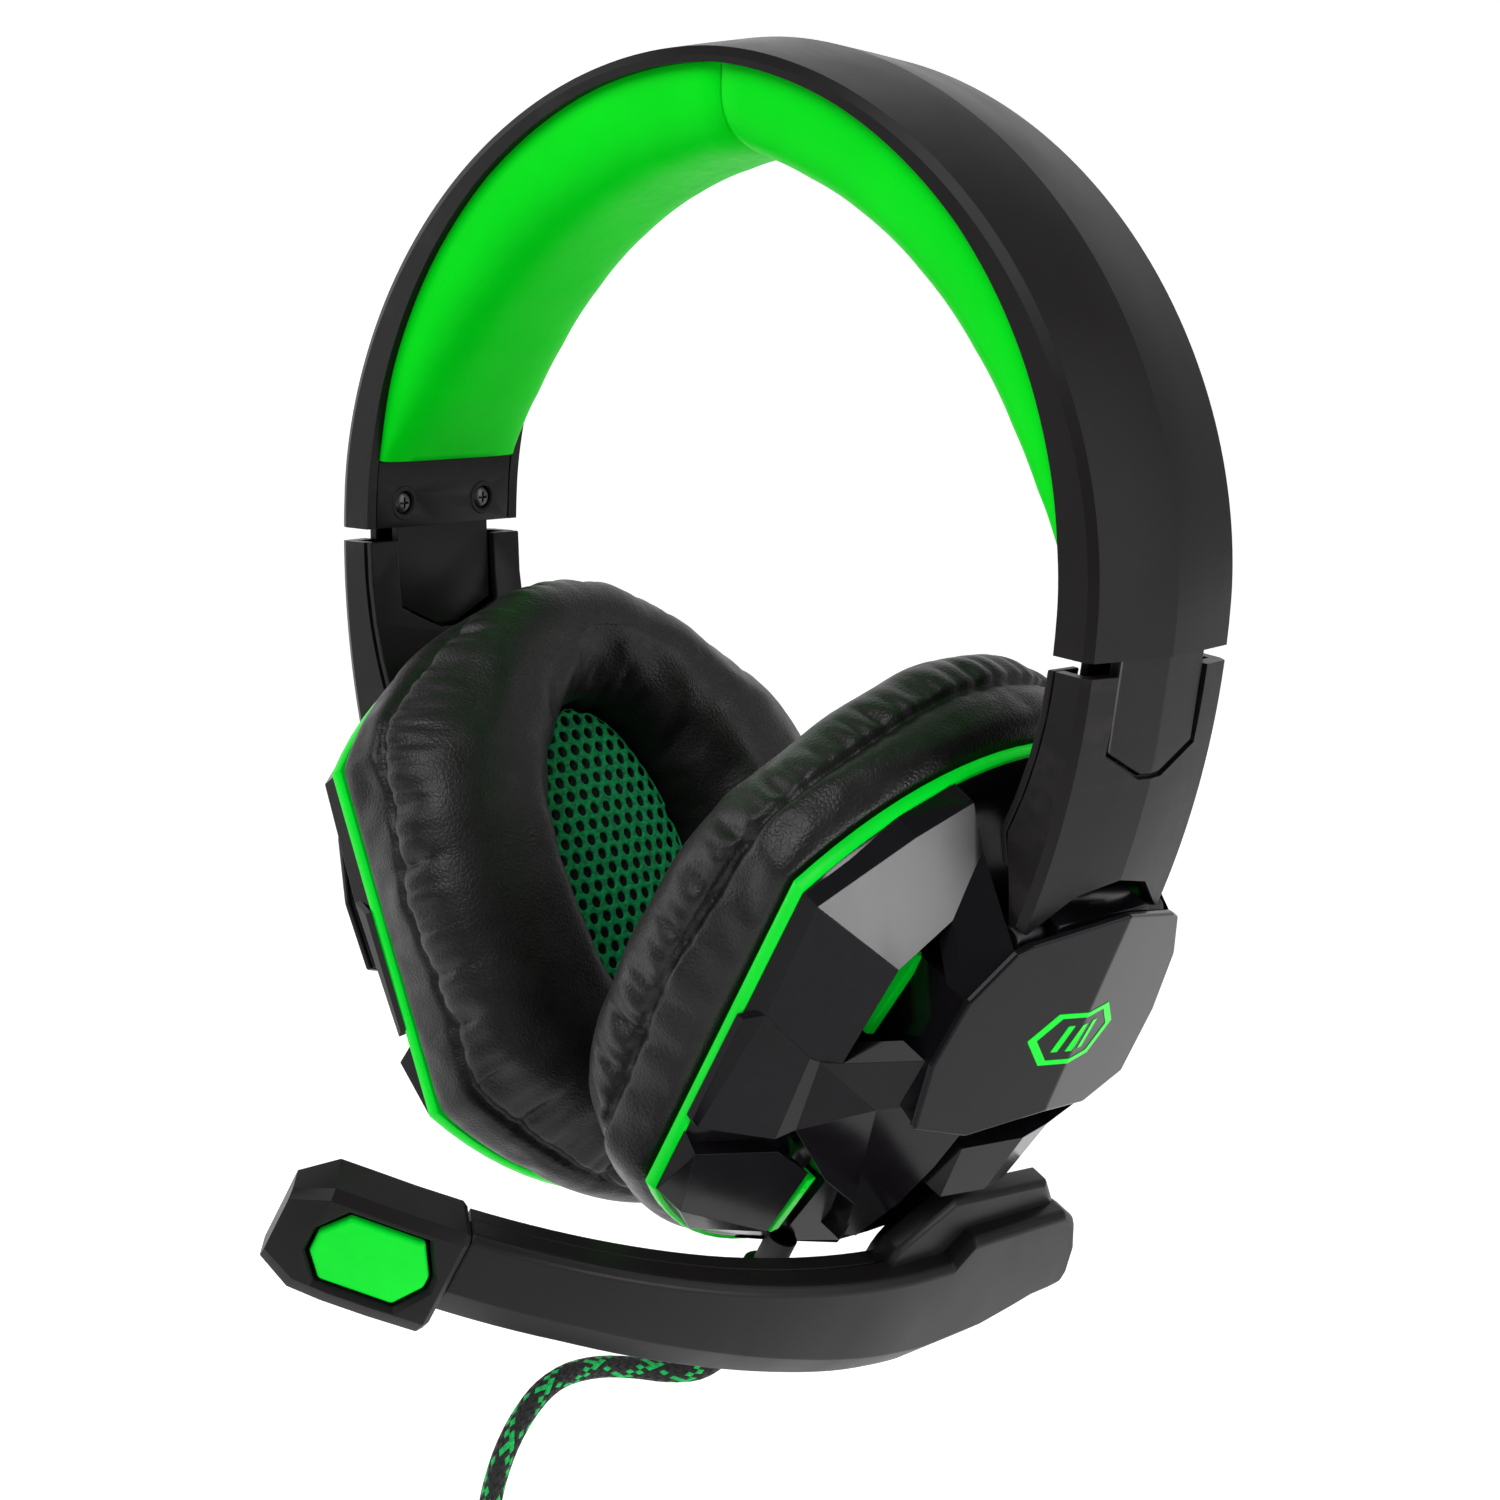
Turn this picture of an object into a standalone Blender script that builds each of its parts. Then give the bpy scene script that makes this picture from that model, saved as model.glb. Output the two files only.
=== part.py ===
"""Over-ear gaming headset with a turning microphone boom and a plug-in lead.

Frame: metres, +Z up, +X towards the wearer's left ear, -Y towards the wearer's face.
The origin is the crown rest, where the underside of the head pad lies on a head.
Lengths below are in millimetres and become metres when a mesh or an empty is made.
"""
import math

import bmesh
import bpy
from mathutils import Vector

MM = 0.001
GAP = 0.3                      # clearance between pieces that touch

# Strap
STRAP_HALF_SPAN = 87.7         # outer rim to the middle plane, at the widest level
STRAP_RISE = 86.3              # outer rim of the crown above the widest level
STRAP_SQUARENESS = 1.92        # exponent of the arch; 2 is an ellipse
SIDE_RADIUS = 150.0            # the strap and arms curve in below the widest level
STRAP_HALF_WIDTH = 20.0
RIDGE = 2.2                    # the middle of the outer face above its edges
SKIN = 2.4                     # thickness of the outer face
WALL = 2.2                     # thickness of the side walls
WALL_DEPTH = 7.5               # depth of the side walls
STRAP_END = 7.3                # end of the strap below the widest level
SCREW_HEAD = 1.9               # radius
SCREW_SHANK = 0.8              # radius
PAD_AT_CROWN = 10.3            # pad below the side walls, where its two lobes meet
CROWN_Z = -(STRAP_RISE - WALL_DEPTH - PAD_AT_CROWN)

# Arms
ARM_TOP = 9.9
ARM_BOTTOM = 50.0
TONGUE_TIP = 27.0
TONGUE_CORNER = 22.6
TONGUE_HALF_WIDTH = 12.0
TONGUE_TIP_HALF_WIDTH = 2.5
STRIP_FOOT = 32.0              # lower end of the straight size strip, below the widest level
STRIP_HEAD = 10.5              # station of its upper end, inside the strap

# Cups: h is outward from the ring plane, y is fore and aft, s is up along the cup
CUP_TILT = math.radians(26.4)
HINGE_X = 75.5
HINGE_BELOW = 55.0             # hinge axis below the widest level
HINGE_H = 22.9
HINGE_S = 32.1
CUP_HALF_WIDTH = 50.0
CUP_TOP = 52.5
CUP_BOTTOM = -55.5
SIDE_TOP = 31.0
SIDE_BOTTOM = -33.0
RING_HALF = 1.2                # half thickness of the light ring
CUSHION_DEPTH = 28.0
MIDDLE_GAP = 0.5               # the cushions press flat against each other at this distance from the middle
EAR_HALF_WIDTH = 21.0
EAR_HALF_HEIGHT = 35.0
EAR_RIM_H = -14.0
PIN_RADIUS = 2.5

# Boom: straight over its hub, then bent in towards the mouth
BOOM_Y = 12.0
BOOM_S = -49.5
BOOM_PITCH = math.radians(4.0)
BOOM_RADIUS = 154.0
BOOM_OUTER_H = 32.0
BOOM_DEPTH = 9.0
ARM_REACH = 100.0              # along the boom from the cup's middle to the microphone head
HEAD_REACH = 130.0
BOOM_POCKET = [(-8.0, -21.0), (24.0, -17.0), (29.0, -42.0), (27.0, -62.0), (-2.0, -62.0), (-6.0, -42.0)]

# Lead and plug
RELIEF_H = 6.5
RELIEF_Y = -12.0
RELIEF_NECK = 2.9
RELIEF_END = 74.0              # tip of the strain relief below the cup's middle
LEAD_DIAMETER = 4.0
COIL_RADIUS = 24.0             # middle of the turns
BUNDLE_RADIUS = 8.5            # the 12 turns together
TIE_INNER = 9.6
TAIL = 22.0                    # lead between the coil and the plug
PLUG_RADIUS = 4.3
PLUG_LENGTH = 30.0


def make_material(name, colour, roughness, metallic=0.0):
    material = bpy.data.materials.new(name)
    material.use_nodes = True
    shader = material.node_tree.nodes["Principled BSDF"]
    shader.inputs["Base Color"].default_value = (*colour, 1.0)
    shader.inputs["Roughness"].default_value = roughness
    shader.inputs["Metallic"].default_value = metallic
    return material


def empty(name, location, tilt=0.0, parent=None, pitch=0.0):
    frame = bpy.data.objects.new(name, None)
    bpy.context.scene.collection.objects.link(frame)
    frame.empty_display_size = 0.01
    frame.parent = parent
    frame.location = Vector(location) * MM
    frame.rotation_euler = (pitch, tilt, 0.0)
    return frame


def add_object(name, mesh, material, parent):
    thing = bpy.data.objects.new(name, mesh)
    bpy.context.scene.collection.objects.link(thing)
    thing.parent = parent
    if material:
        mesh.materials.append(material)
    else:
        thing.hide_render = True
        thing.display_type = "WIRE"
    return thing


def solid(name, points, faces, material, parent, smooth=30.0):
    """A closed mesh from points in millimetres; no material makes it a cutter."""
    mesh = bpy.data.meshes.new(name)
    mesh.from_pydata([Vector(p) * MM for p in points], [], faces)
    shell = bmesh.new()
    shell.from_mesh(mesh)
    bmesh.ops.recalc_face_normals(shell, faces=shell.faces)
    if shell.calc_volume(signed=True) < 0:
        bmesh.ops.reverse_faces(shell, faces=shell.faces)
    shell.to_mesh(mesh)
    shell.free()
    mesh.shade_smooth()
    mesh.set_sharp_from_angle(angle=math.radians(smooth))
    return add_object(name, mesh, material, parent)


def loft(name, rows, material, parent, closed=False, smooth=30.0):
    """Joins rows of points, each a loop, by quads; a closed loft is a ring, an open one is capped."""
    count = len(rows[0])
    points = [p for row in rows for p in row]
    faces = []
    for i in range(len(rows) if closed else len(rows) - 1):
        this, after = i * count, (i + 1) % len(rows) * count
        for j in range(count):
            k = (j + 1) % count
            faces.append((this + j, this + k, after + k, after + j))
    if not closed:
        faces.append(tuple(range(count)))
        faces.append(tuple(range(len(points) - count, len(points))))
    return solid(name, points, faces, material, parent, smooth)


def prism(name, outline, low, high, material, parent, axis):
    """An outline of (u, v) points extruded between two levels along X, Y or Z."""
    place = {
        "x": lambda u, v, w: (w, u, v),
        "y": lambda u, v, w: (u, w, v),
        "z": lambda u, v, w: (u, v, w),
    }[axis]
    rows = [[place(u, v, w) for u, v in outline] for w in (low, high)]
    return loft(name, rows, material, parent)


def circle(radius, sides, centre=(0.0, 0.0)):
    steps = [2 * math.pi * (i + 0.5) / sides for i in range(sides)]
    return [(centre[0] + radius * math.cos(a), centre[1] + radius * math.sin(a)) for a in steps]


def turned(name, profile, sides, material, parent, place):
    """A solid of revolution; profile rows are (radius, height) and place maps (a, b, height)."""
    rows = [[place(a, b, height) for a, b in circle(radius, sides)] for radius, height in profile]
    return loft(name, rows, material, parent)


def combine(thing, tool, operation):
    change = thing.modifiers.new(operation.title(), "BOOLEAN")
    change.operation = operation
    change.object = tool
    change.solver = "EXACT"


# ---------------------------------------------------------------- strap and arms

def rim(station):
    """Strap edge at a station in degrees, 0 on the left, 90 at the crown: x, z and outward x, z."""
    if station > 90.0:
        x, z, out_x, out_z = rim(180.0 - station)
        return -x, z, -out_x, out_z
    cosine, sine = math.cos(math.radians(station)), math.sin(math.radians(station))
    if station < 0.0:
        return STRAP_HALF_SPAN - SIDE_RADIUS * (1.0 - cosine), SIDE_RADIUS * sine, cosine, sine
    n = STRAP_SQUARENESS
    reach = ((cosine / STRAP_HALF_SPAN) ** n + (sine / STRAP_RISE) ** n) ** (-1.0 / n)
    out_x = cosine ** (n - 1.0) / STRAP_HALF_SPAN ** n
    out_z = sine ** (n - 1.0) / STRAP_RISE ** n
    size = math.hypot(out_x, out_z)
    return reach * cosine, reach * sine, out_x / size, out_z / size


def below(depth):
    """Station at a depth below the widest level."""
    return -math.degrees(math.asin(depth / SIDE_RADIUS))


def strap_row(section, station):
    """Places a section of (y, r) points, r outward from the rim, across the strap."""
    x, z, out_x, out_z = rim(station)
    return [(x + out_x * r, y, z + out_z * r) for y, r in section]


def side_row(section, depth, side):
    """The same for an arm: side is +1 for the wearer's left and -1 for the right."""
    return [(side * x, y, z) for x, y, z in strap_row(section, below(depth))]


def roof(y):
    return RIDGE * (1.0 - abs(y) / STRAP_HALF_WIDTH)


def channel(depth, half=STRAP_HALF_WIDTH):
    """Section of the outer shells: a low roof with a wall along each edge."""
    inside = half - WALL
    ceiling = roof(inside) - SKIN
    return [(-half, 0), (0, RIDGE), (half, 0), (half, -depth), (inside, -depth), (inside, ceiling),
            (0, RIDGE - SKIN), (-inside, ceiling), (-inside, -depth), (-half, -depth)]


def plate(half, outer, inner, peak=0.0):
    """Section of a flat strip, with an outer face that may rise to a ridge."""
    return [(-half, outer), (0, outer + peak), (half, outer), (half, inner), (0, inner + peak), (-half, inner)]


def arm_depth(depth):
    """Radial depth of an arm: it thickens to its knee and thins again to the hinge."""
    if depth <= 40.0:
        return 8.4 + 2.6 * ((depth - ARM_TOP) / 30.1) ** 2
    return 11.0 - 5.0 * (depth - 40.0) / (ARM_BOTTOM - 40.0)


def build_strap(frame, materials):
    stations = [below(STRAP_END)] + [6.0 * i for i in range(31)] + [180.0 - below(STRAP_END)]
    shell = loft("headband_shell", [strap_row(channel(WALL_DEPTH), a) for a in stations],
                 materials["shell_black"], frame)
    for side, label in ((1, "left"), (-1, "right")):
        tongue = loft(f"cutter_tongue_{label}", tongue_rows(side, 3.0, -0.2, 0.0), None, frame)
        combine(shell, tongue, "UNION")

    spring = [strap_row(plate(7.0, -3.0, -3.8), a) for a in range(30, 151, 10)]
    loft("spring_strip", spring, materials["spring_steel"], frame)


def tongue_rows(side, start, lift, drop, clearance=0.0):
    """Rows of a five-sided tongue that runs down from the strap; clearance widens it into a notch."""
    rows = []
    for depth, half in ((start, TONGUE_HALF_WIDTH), (TONGUE_CORNER, TONGUE_HALF_WIDTH),
                        (TONGUE_TIP, TONGUE_TIP_HALF_WIDTH)):
        half += clearance
        if depth > start:
            depth += clearance
        edge, inner = roof(half) + lift, -SKIN - drop
        section = [(-half, edge), (0, RIDGE + lift), (half, edge),
                   (half, roof(half) + inner), (0, RIDGE + inner), (-half, roof(half) + inner)]
        rows.append(side_row(section, depth, side))
    return rows


def build_strap_end(frame, side, label, materials):
    """Inner plate with its own tongue, and the two screws that hold it."""
    inside = STRAP_HALF_WIDTH - WALL - GAP
    outer, inner = -5.7, -WALL_DEPTH + 0.1
    rows = [side_row(plate(inside, outer, inner), -depth, side) for depth in (11.0, 4.0)]
    rows.append(side_row(plate(inside, outer, inner), STRAP_END, side))
    for depth, half in ((STRAP_END + 0.02, TONGUE_HALF_WIDTH), (TONGUE_CORNER, TONGUE_HALF_WIDTH),
                        (TONGUE_TIP, TONGUE_TIP_HALF_WIDTH)):
        rows.append(side_row(plate(half, outer - 0.1, inner + 0.1), depth, side))
    inner_plate = loft(f"strap_inner_plate_{label}", rows, materials["shell_black"], frame)

    x, z, out_x, out_z = rim(below(2.5))
    for place, y in (("front", -10.5), ("rear", 10.5)):
        centre = Vector((side * (x + out_x * inner), y, z + out_z * inner))
        into = Vector((side * out_x, 0.0, out_z))
        across = Vector((0.0, 1.0, 0.0))
        upright = into.cross(across)

        def hole_point(a, b, height, c=centre, d=into, u=across, v=upright):
            return tuple(c + u * a + v * b + d * height)

        hole = turned(f"cutter_screw_hole_{place}_{label}",
                      [(SCREW_HEAD + 0.4, -1.0), (SCREW_HEAD + 0.4, 1.0), (SCREW_SHANK + GAP, 1.0),
                       (SCREW_SHANK + GAP, 4.0)], 12, None, frame, hole_point)
        combine(inner_plate, hole, "DIFFERENCE")
        screw = [(SCREW_HEAD - 0.4, 0.0), (SCREW_HEAD, 0.2), (SCREW_HEAD, 1.0 - GAP), (SCREW_SHANK, 1.0 - GAP),
                 (SCREW_SHANK, 5.3)]
        turned(f"plate_screw_{place}_{label}", screw, 12, materials["screw_steel"], frame, hole_point)


def pad_section(bulge):
    half = STRAP_HALF_WIDTH - WALL - GAP
    top, edge = -4.4, -WALL_DEPTH
    return [(-half, top), (half, top), (half, edge), (half - 1.5, edge - 0.45 * bulge),
            (0.65 * half, edge - 0.88 * bulge), (0, edge - bulge), (-0.65 * half, edge - 0.88 * bulge),
            (-half + 1.5, edge - 0.45 * bulge), (-half, edge)]


def build_pad(frame, side, label, materials):
    """One lobe of the head pad, from the crown to just above the strap's end."""
    profile = ((4.6, 1.5), (9, 4.0), (15, 6.8), (24, 9.5), (36, 11.8), (50, 12.8), (64, 12.8), (76, 12.3),
               (84, 11.3), (89.6, 10.2))
    rows = []
    for station, bulge in profile:
        rows.append([(side * x, y, z) for x, y, z in strap_row(pad_section(bulge), station)])
    loft(f"head_pad_{label}", rows, materials["green_vinyl"], frame, smooth=60.0)


def build_arm(frame, side, label, materials):
    """Outer and inner covers of the arm, its size-adjusting strip and the cup's hinge pin."""
    black = materials["shell_black"]
    depths = (ARM_TOP, 18.0, 26.0, 33.0, 40.0, 45.0, ARM_BOTTOM)
    outer = loft(f"arm_outer_cover_{label}",
                 [side_row(channel(arm_depth(d) - 1.8), d, side) for d in depths], black, frame)
    notch = loft(f"cutter_arm_notch_{label}", tongue_rows(side, ARM_TOP - 4.0, 2.0, 1.0, 0.8), None, frame)
    combine(outer, notch, "DIFFERENCE")

    hinge = (side * HINGE_X, -HINGE_BELOW)
    for place, y in (("front", -1), ("rear", 1)):
        low, high = sorted((y * (STRAP_HALF_WIDTH - WALL), y * (STRAP_HALF_WIDTH - 0.1)))
        ear_outline = [(side * (HINGE_X + a), -HINGE_BELOW + b) for a, b in
                       ((-4.6, -2.0), (-2.0, -4.6), (2.0, -4.6), (4.4, -2.0), (4.0, 6.5), (-0.5, 8.0), (-4.6, 2.5))]
        ear = prism(f"cutter_hinge_ear_{place}_{label}", ear_outline, low, high, None, frame, "y")
        combine(outer, ear, "UNION")
    bore = prism(f"cutter_hinge_bore_{label}", circle(PIN_RADIUS + GAP, 20, hinge), -30, 30, None, frame, "y")
    combine(outer, bore, "DIFFERENCE")

    depths = (ARM_TOP, 18.0, 26.0, 33.0, 40.0, 45.0)
    rows = []
    for d in depths:
        bottom = -arm_depth(d)
        rows.append(side_row(plate(STRAP_HALF_WIDTH - 0.2, bottom + 1.4, bottom), d, side))
    inner = loft(f"arm_inner_cover_{label}", rows, black, frame)
    inner_notch = []
    for depth, half in ((ARM_TOP - 4.0, TONGUE_HALF_WIDTH + 0.8), (TONGUE_CORNER + 0.8, TONGUE_HALF_WIDTH + 0.8),
                        (TONGUE_TIP + 0.8, TONGUE_TIP_HALF_WIDTH + 0.8)):
        inner_notch.append(side_row(plate(half, -4.0, -15.0), depth, side))
    combine(inner, loft(f"cutter_inner_notch_{label}", inner_notch, None, frame), "DIFFERENCE")

    (low_x, low_z), (high_x, high_z) = (rim(station)[:2] for station in (below(STRIP_FOOT), STRIP_HEAD))
    outline = [(side * (x - deep), z) for x, z, deep in
               ((low_x, low_z, 1.0), (high_x, high_z, 1.0), (high_x, high_z, 1.8), (low_x, low_z, 1.8))]
    prism(f"size_strip_{label}", outline, -5.0, 5.0, materials["spring_steel"], frame, "y")

    half = STRAP_HALF_WIDTH + 0.8
    turned(f"hinge_pin_{label}", [(PIN_RADIUS, -half), (PIN_RADIUS, half)], 20, materials["spring_steel"], frame,
           lambda a, b, height: (hinge[0] + a, height, hinge[1] + b))


# ---------------------------------------------------------------- cups

def cup_outline(inset=0.0, steps=8):
    """The cup's outline as (y, s) points: two straight sides, an arc over the top and one below."""
    half = CUP_HALF_WIDTH - inset
    top_rise = CUP_TOP - inset - SIDE_TOP
    bottom_drop = SIDE_BOTTOM - (CUP_BOTTOM + inset)
    points = []
    for rise, start, direction in ((top_rise, SIDE_TOP, 1), (bottom_drop, SIDE_BOTTOM, -1)):
        radius = (half * half + rise * rise) / (2.0 * rise)
        sweep = math.asin(half / radius)
        for i in range(steps + 1):
            angle = sweep * (1.0 - 2.0 * i / steps) * direction
            height = radius * (math.cos(angle) - 1.0) + rise
            points.append((radius * math.sin(angle), start + direction * height))
        if direction == 1:
            points += [(-half, SIDE_TOP + (SIDE_BOTTOM - SIDE_TOP) * t) for t in (0.25, 0.5, 0.75)]
    points += [(half, SIDE_BOTTOM + (SIDE_TOP - SIDE_BOTTOM) * t) for t in (0.25, 0.5, 0.75)]
    return points


def ellipse(half_y, half_s, count):
    return [(a * half_y, b * half_s) for a, b in circle(1.0, count)]


def rounded(outline, pull):
    """Pulls an outline's corners towards its middle; pull is a share of their distance from it."""
    corner = CUP_HALF_WIDTH * SIDE_TOP
    return [(y * (1.0 - pull * (y * s / corner) ** 2), s * (1.0 - pull * (y * s / corner) ** 2))
            for y, s in outline]


def cup_points(outline, h, side):
    """Cup outline at a height h, in the frame of the hinge."""
    heights = h if callable(h) else lambda y, s: h
    return [(side * (heights(y, s) - HINGE_H), y, s - HINGE_S) for y, s in outline]


def scaled(outline, factor, shift=0.0):
    return [(y * factor, s * factor + shift) for y, s in outline]


def cup_prism(name, outline, low, high, material, frame, side):
    return loft(name, [cup_points(outline, h, side) for h in (low, high)], material, frame)


def build_housing(frame, side, label, materials):
    """The cup's outer shell, hollow, with windows for the light and a slot for the arm."""
    outline = cup_outline(0.4)

    def crest(top):
        return lambda y, s: top - 0.22 * abs(y)

    levels = ((1.0, 0.0, 1.6), (0.985, 0.0, 8.0), (0.9, 1.5, 14.5), (0.72, 6.0, 22.5),
              (0.5, 11.0, crest(31.5)), (0.2, 14.0, crest(32.0)))
    rows = [cup_points(scaled(outline, f, shift), h, side) for f, shift, h in levels]
    shell = loft(f"cup_shell_{label}", rows, materials["gloss_black"], frame)

    wide = [cup_points(scaled(outline, f), h, side) for f, h in ((0.95, 0.5), (0.94, 8.0), (0.84, 15.2))]
    combine(shell, loft(f"cutter_cup_cavity_{label}", wide, None, frame), "DIFFERENCE")
    deep = [cup_points(scaled(outline, f, -8.0), h, side) for f, h in ((0.6, 14.0), (0.52, 23.0), (0.3, 28.0))]
    combine(shell, loft(f"cutter_cup_core_{label}", deep, None, frame), "DIFFERENCE")

    slot = [(side * (h - HINGE_H), s - HINGE_S) for h, s in
            ((8.6, 80.0), (8.6, 44.4), (16.2, 28.5), (22.9, 25.0), (29.5, 28.0), (33.5, 36.0), (60.0, 60.0))]
    combine(shell, prism(f"cutter_arm_slot_{label}", slot, -21.0, 21.0, None, frame, "y"), "DIFFERENCE")
    lug = [(side * a, b) for a, b in
           ((-4.0, -12.0), (6.0, -12.0), (5.2, 0.0), (3.2, 4.2), (-3.2, 4.2), (-5.2, 0.0))]
    combine(shell, prism(f"cutter_hinge_lug_{label}", lug, -13.0, 13.0, None, frame, "y"), "UNION")
    bore = prism(f"cutter_lug_bore_{label}", circle(PIN_RADIUS + GAP, 20), -30, 30, None, frame, "y")
    combine(shell, bore, "DIFFERENCE")

    pocket = cup_prism(f"cutter_boom_pocket_{label}", BOOM_POCKET, 14.2, 40.0, None, frame, side)
    combine(shell, pocket, "DIFFERENCE")

    if side == 1:
        exit_hole = turned("cutter_lead_hole", [(RELIEF_NECK + GAP, 45.0), (RELIEF_NECK + GAP, 62.0)], 20, None,
                           frame, under_cup(side))
        combine(shell, exit_hole, "DIFFERENCE")

    windows = {
        "upper": ((-36.0, 22.0), (-24.5, 29.0), (-13.0, 9.0), (-20.0, 0.5), (-33.0, 2.0)),
        "lower": ((-34.0, -20.0), (-24.0, -27.0), (-25.5, -40.0), (-31.0, -34.0)),
    }
    for place, corners in windows.items():
        for end, direction in (("front", 1), ("rear", -1)):
            shape = [(y * direction, s) for y, s in corners]
            window = cup_prism(f"cutter_{place}_{end}_window_{label}", shape, 9.0, 40.0, None, frame, side)
            combine(shell, window, "DIFFERENCE")


def build_keel_plate(frame, side, label, materials):
    """The proud outer cover: a low roof along the middle of the cup."""
    half = [(0.0, 39.0, 33.6), (14.0, 34.5, 30.8), (21.0, 31.0, 29.4), (30.0, 18.0, 28.2), (25.0, 0.0, 29.0),
            (16.0, -16.0, 29.6), (0.0, -20.0, 33.6)]
    outline = half + [(-y, s, h) for y, s, h in reversed(half[1:-1])]
    count = len(outline)
    points = [(side * (h - HINGE_H), y, s - HINGE_S) for y, s, h in outline]
    points += [(side * (h - 1.3 - HINGE_H), y, s - HINGE_S) for y, s, h in outline]
    ridge = len(half) - 1
    faces = [tuple(range(0, ridge + 1)), tuple([*range(ridge, count), 0])]
    faces += [tuple(i + count for i in face) for face in list(faces)]
    faces += [(i, (i + 1) % count, (i + 1) % count + count, i + count) for i in range(count)]
    return solid(f"keel_plate_{label}", points, faces, materials["gloss_black"], frame)


def ring_solid(name, outer, inner, low, high, material, frame, side):
    rows = [cup_points(outer, low, side), cup_points(outer, high, side),
            cup_points(inner, high, side), cup_points(inner, low, side)]
    return loft(name, rows, material, frame, closed=True)


def build_cup_inside(frame, side, label, materials):
    """Light ring, light window insert, baffle, speaker and circuit board."""
    ring_solid(f"light_ring_{label}", cup_outline(0.0), cup_outline(3.0), -RING_HALF, RING_HALF,
               materials["green_light"], frame, side)
    ring_solid(f"window_insert_{label}", scaled(cup_outline(), 0.82), scaled(cup_outline(), 0.5), 8.4, 10.0,
               materials["green_light"], frame, side)

    hole = circle(21.0, len(cup_outline()))
    start = min(range(len(hole)), key=lambda i: math.dist(hole[i], cup_outline()[0]))
    hole = hole[start:] + hole[:start]
    if math.dist(hole[1], cup_outline()[1]) > math.dist(hole[-1], cup_outline()[1]):
        hole = [hole[0]] + hole[:0:-1]
    ring_solid(f"baffle_{label}", cup_outline(3.0 + GAP), hole, -RING_HALF, 0.9, materials["shell_black"],
               frame, side)

    def on_cup(a, b, height):
        return side * (height - HINGE_H), a, b - HINGE_S

    turned(f"speaker_{label}", [(19.0, -0.8), (20.6, -0.4), (20.6, 1.4), (17.5, 5.0), (11.0, 6.4), (11.0, 13.0)],
           28, materials["driver_metal"], frame, on_cup)
    board = [(-14.0, -26.0), (14.0, -26.0), (14.0, -42.0), (-14.0, -42.0)]
    cup_prism(f"circuit_board_{label}", board, 4.0, 5.6, materials["board_green"], frame, side)


def pressed(outline, h, side):
    """Cushion points, held back where the other cushion meets them at the middle plane."""
    base = HINGE_X - HINGE_H * math.cos(CUP_TILT) - HINGE_S * math.sin(CUP_TILT)

    def level(y, s):
        return max(h, (MIDDLE_GAP - base - s * math.sin(CUP_TILT)) / math.cos(CUP_TILT))

    return cup_points(outline, level, side)


def build_cushion(frame, side, label, materials):
    """Ear cushion round its opening, with the mesh cloth and foam disc inside."""
    face = -CUSHION_DEPTH
    rings = []
    for inset, pull, h in ((1.0, 0.0, -RING_HALF - GAP), (-2.4, 0.01, -7.0), (-3.2, 0.03, -14.0),
                           (-0.5, 0.06, face + 6.0), (5.0, 0.08, face + 1.5), (8.0, 0.08, face)):
        rings.append(pressed(rounded(cup_outline(inset), pull), h, side))
    angles = [math.atan2(s * EAR_HALF_WIDTH / EAR_HALF_HEIGHT, y) for y, s in cup_outline()]
    for grow, h in ((6.0, face), (3.0, face + 4.0), (0.0, EAR_RIM_H), (0.0, -RING_HALF - GAP)):
        ear = [((EAR_HALF_WIDTH + grow) * math.cos(a), (EAR_HALF_HEIGHT + grow) * math.sin(a)) for a in angles]
        rings.append(pressed(ear, h, side))
    loft(f"ear_cushion_{label}", rings, materials["leatherette"], frame, closed=True, smooth=50.0)

    cloth = ellipse(EAR_HALF_WIDTH - 0.8, EAR_HALF_HEIGHT - 0.8, 32)
    cup_prism(f"ear_mesh_{label}", cloth, EAR_RIM_H + 2.0, EAR_RIM_H + 2.8, materials["green_mesh"], frame, side)
    foam = ellipse(EAR_HALF_WIDTH - 1.0, EAR_HALF_HEIGHT - 1.0, 24)
    cup_prism(f"ear_foam_{label}", foam, EAR_RIM_H + 3.2, -2.4, materials["dark_foam"], frame, side)


# ---------------------------------------------------------------- boom and microphone

def boom_bend(reach):
    """Forward distance, outer level and turn of the boom at a length along it from the cup's middle."""
    angle = max(reach, 0.0) / BOOM_RADIUS
    forward = min(reach, 0.0) + BOOM_RADIUS * math.sin(angle)
    return forward, BOOM_OUTER_H - BOOM_RADIUS * (1.0 - math.cos(angle)), angle


def boom_row(reach, top, low, outer, inner, side, chamfer=1.0, facet=1.0):
    """Section across the boom, in the frame of its hub: a bevel above and a facet below its face."""
    forward, level, angle = boom_bend(reach)
    section = [(-low + 1.7 * facet, outer), (top - chamfer, outer), (top, outer - chamfer),
               (top, inner), (-low, inner), (-low, outer - facet)]
    return [(side * (level + r * math.cos(angle)), -forward - r * math.sin(angle) - BOOM_Y, across)
            for across, r in section]


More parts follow.
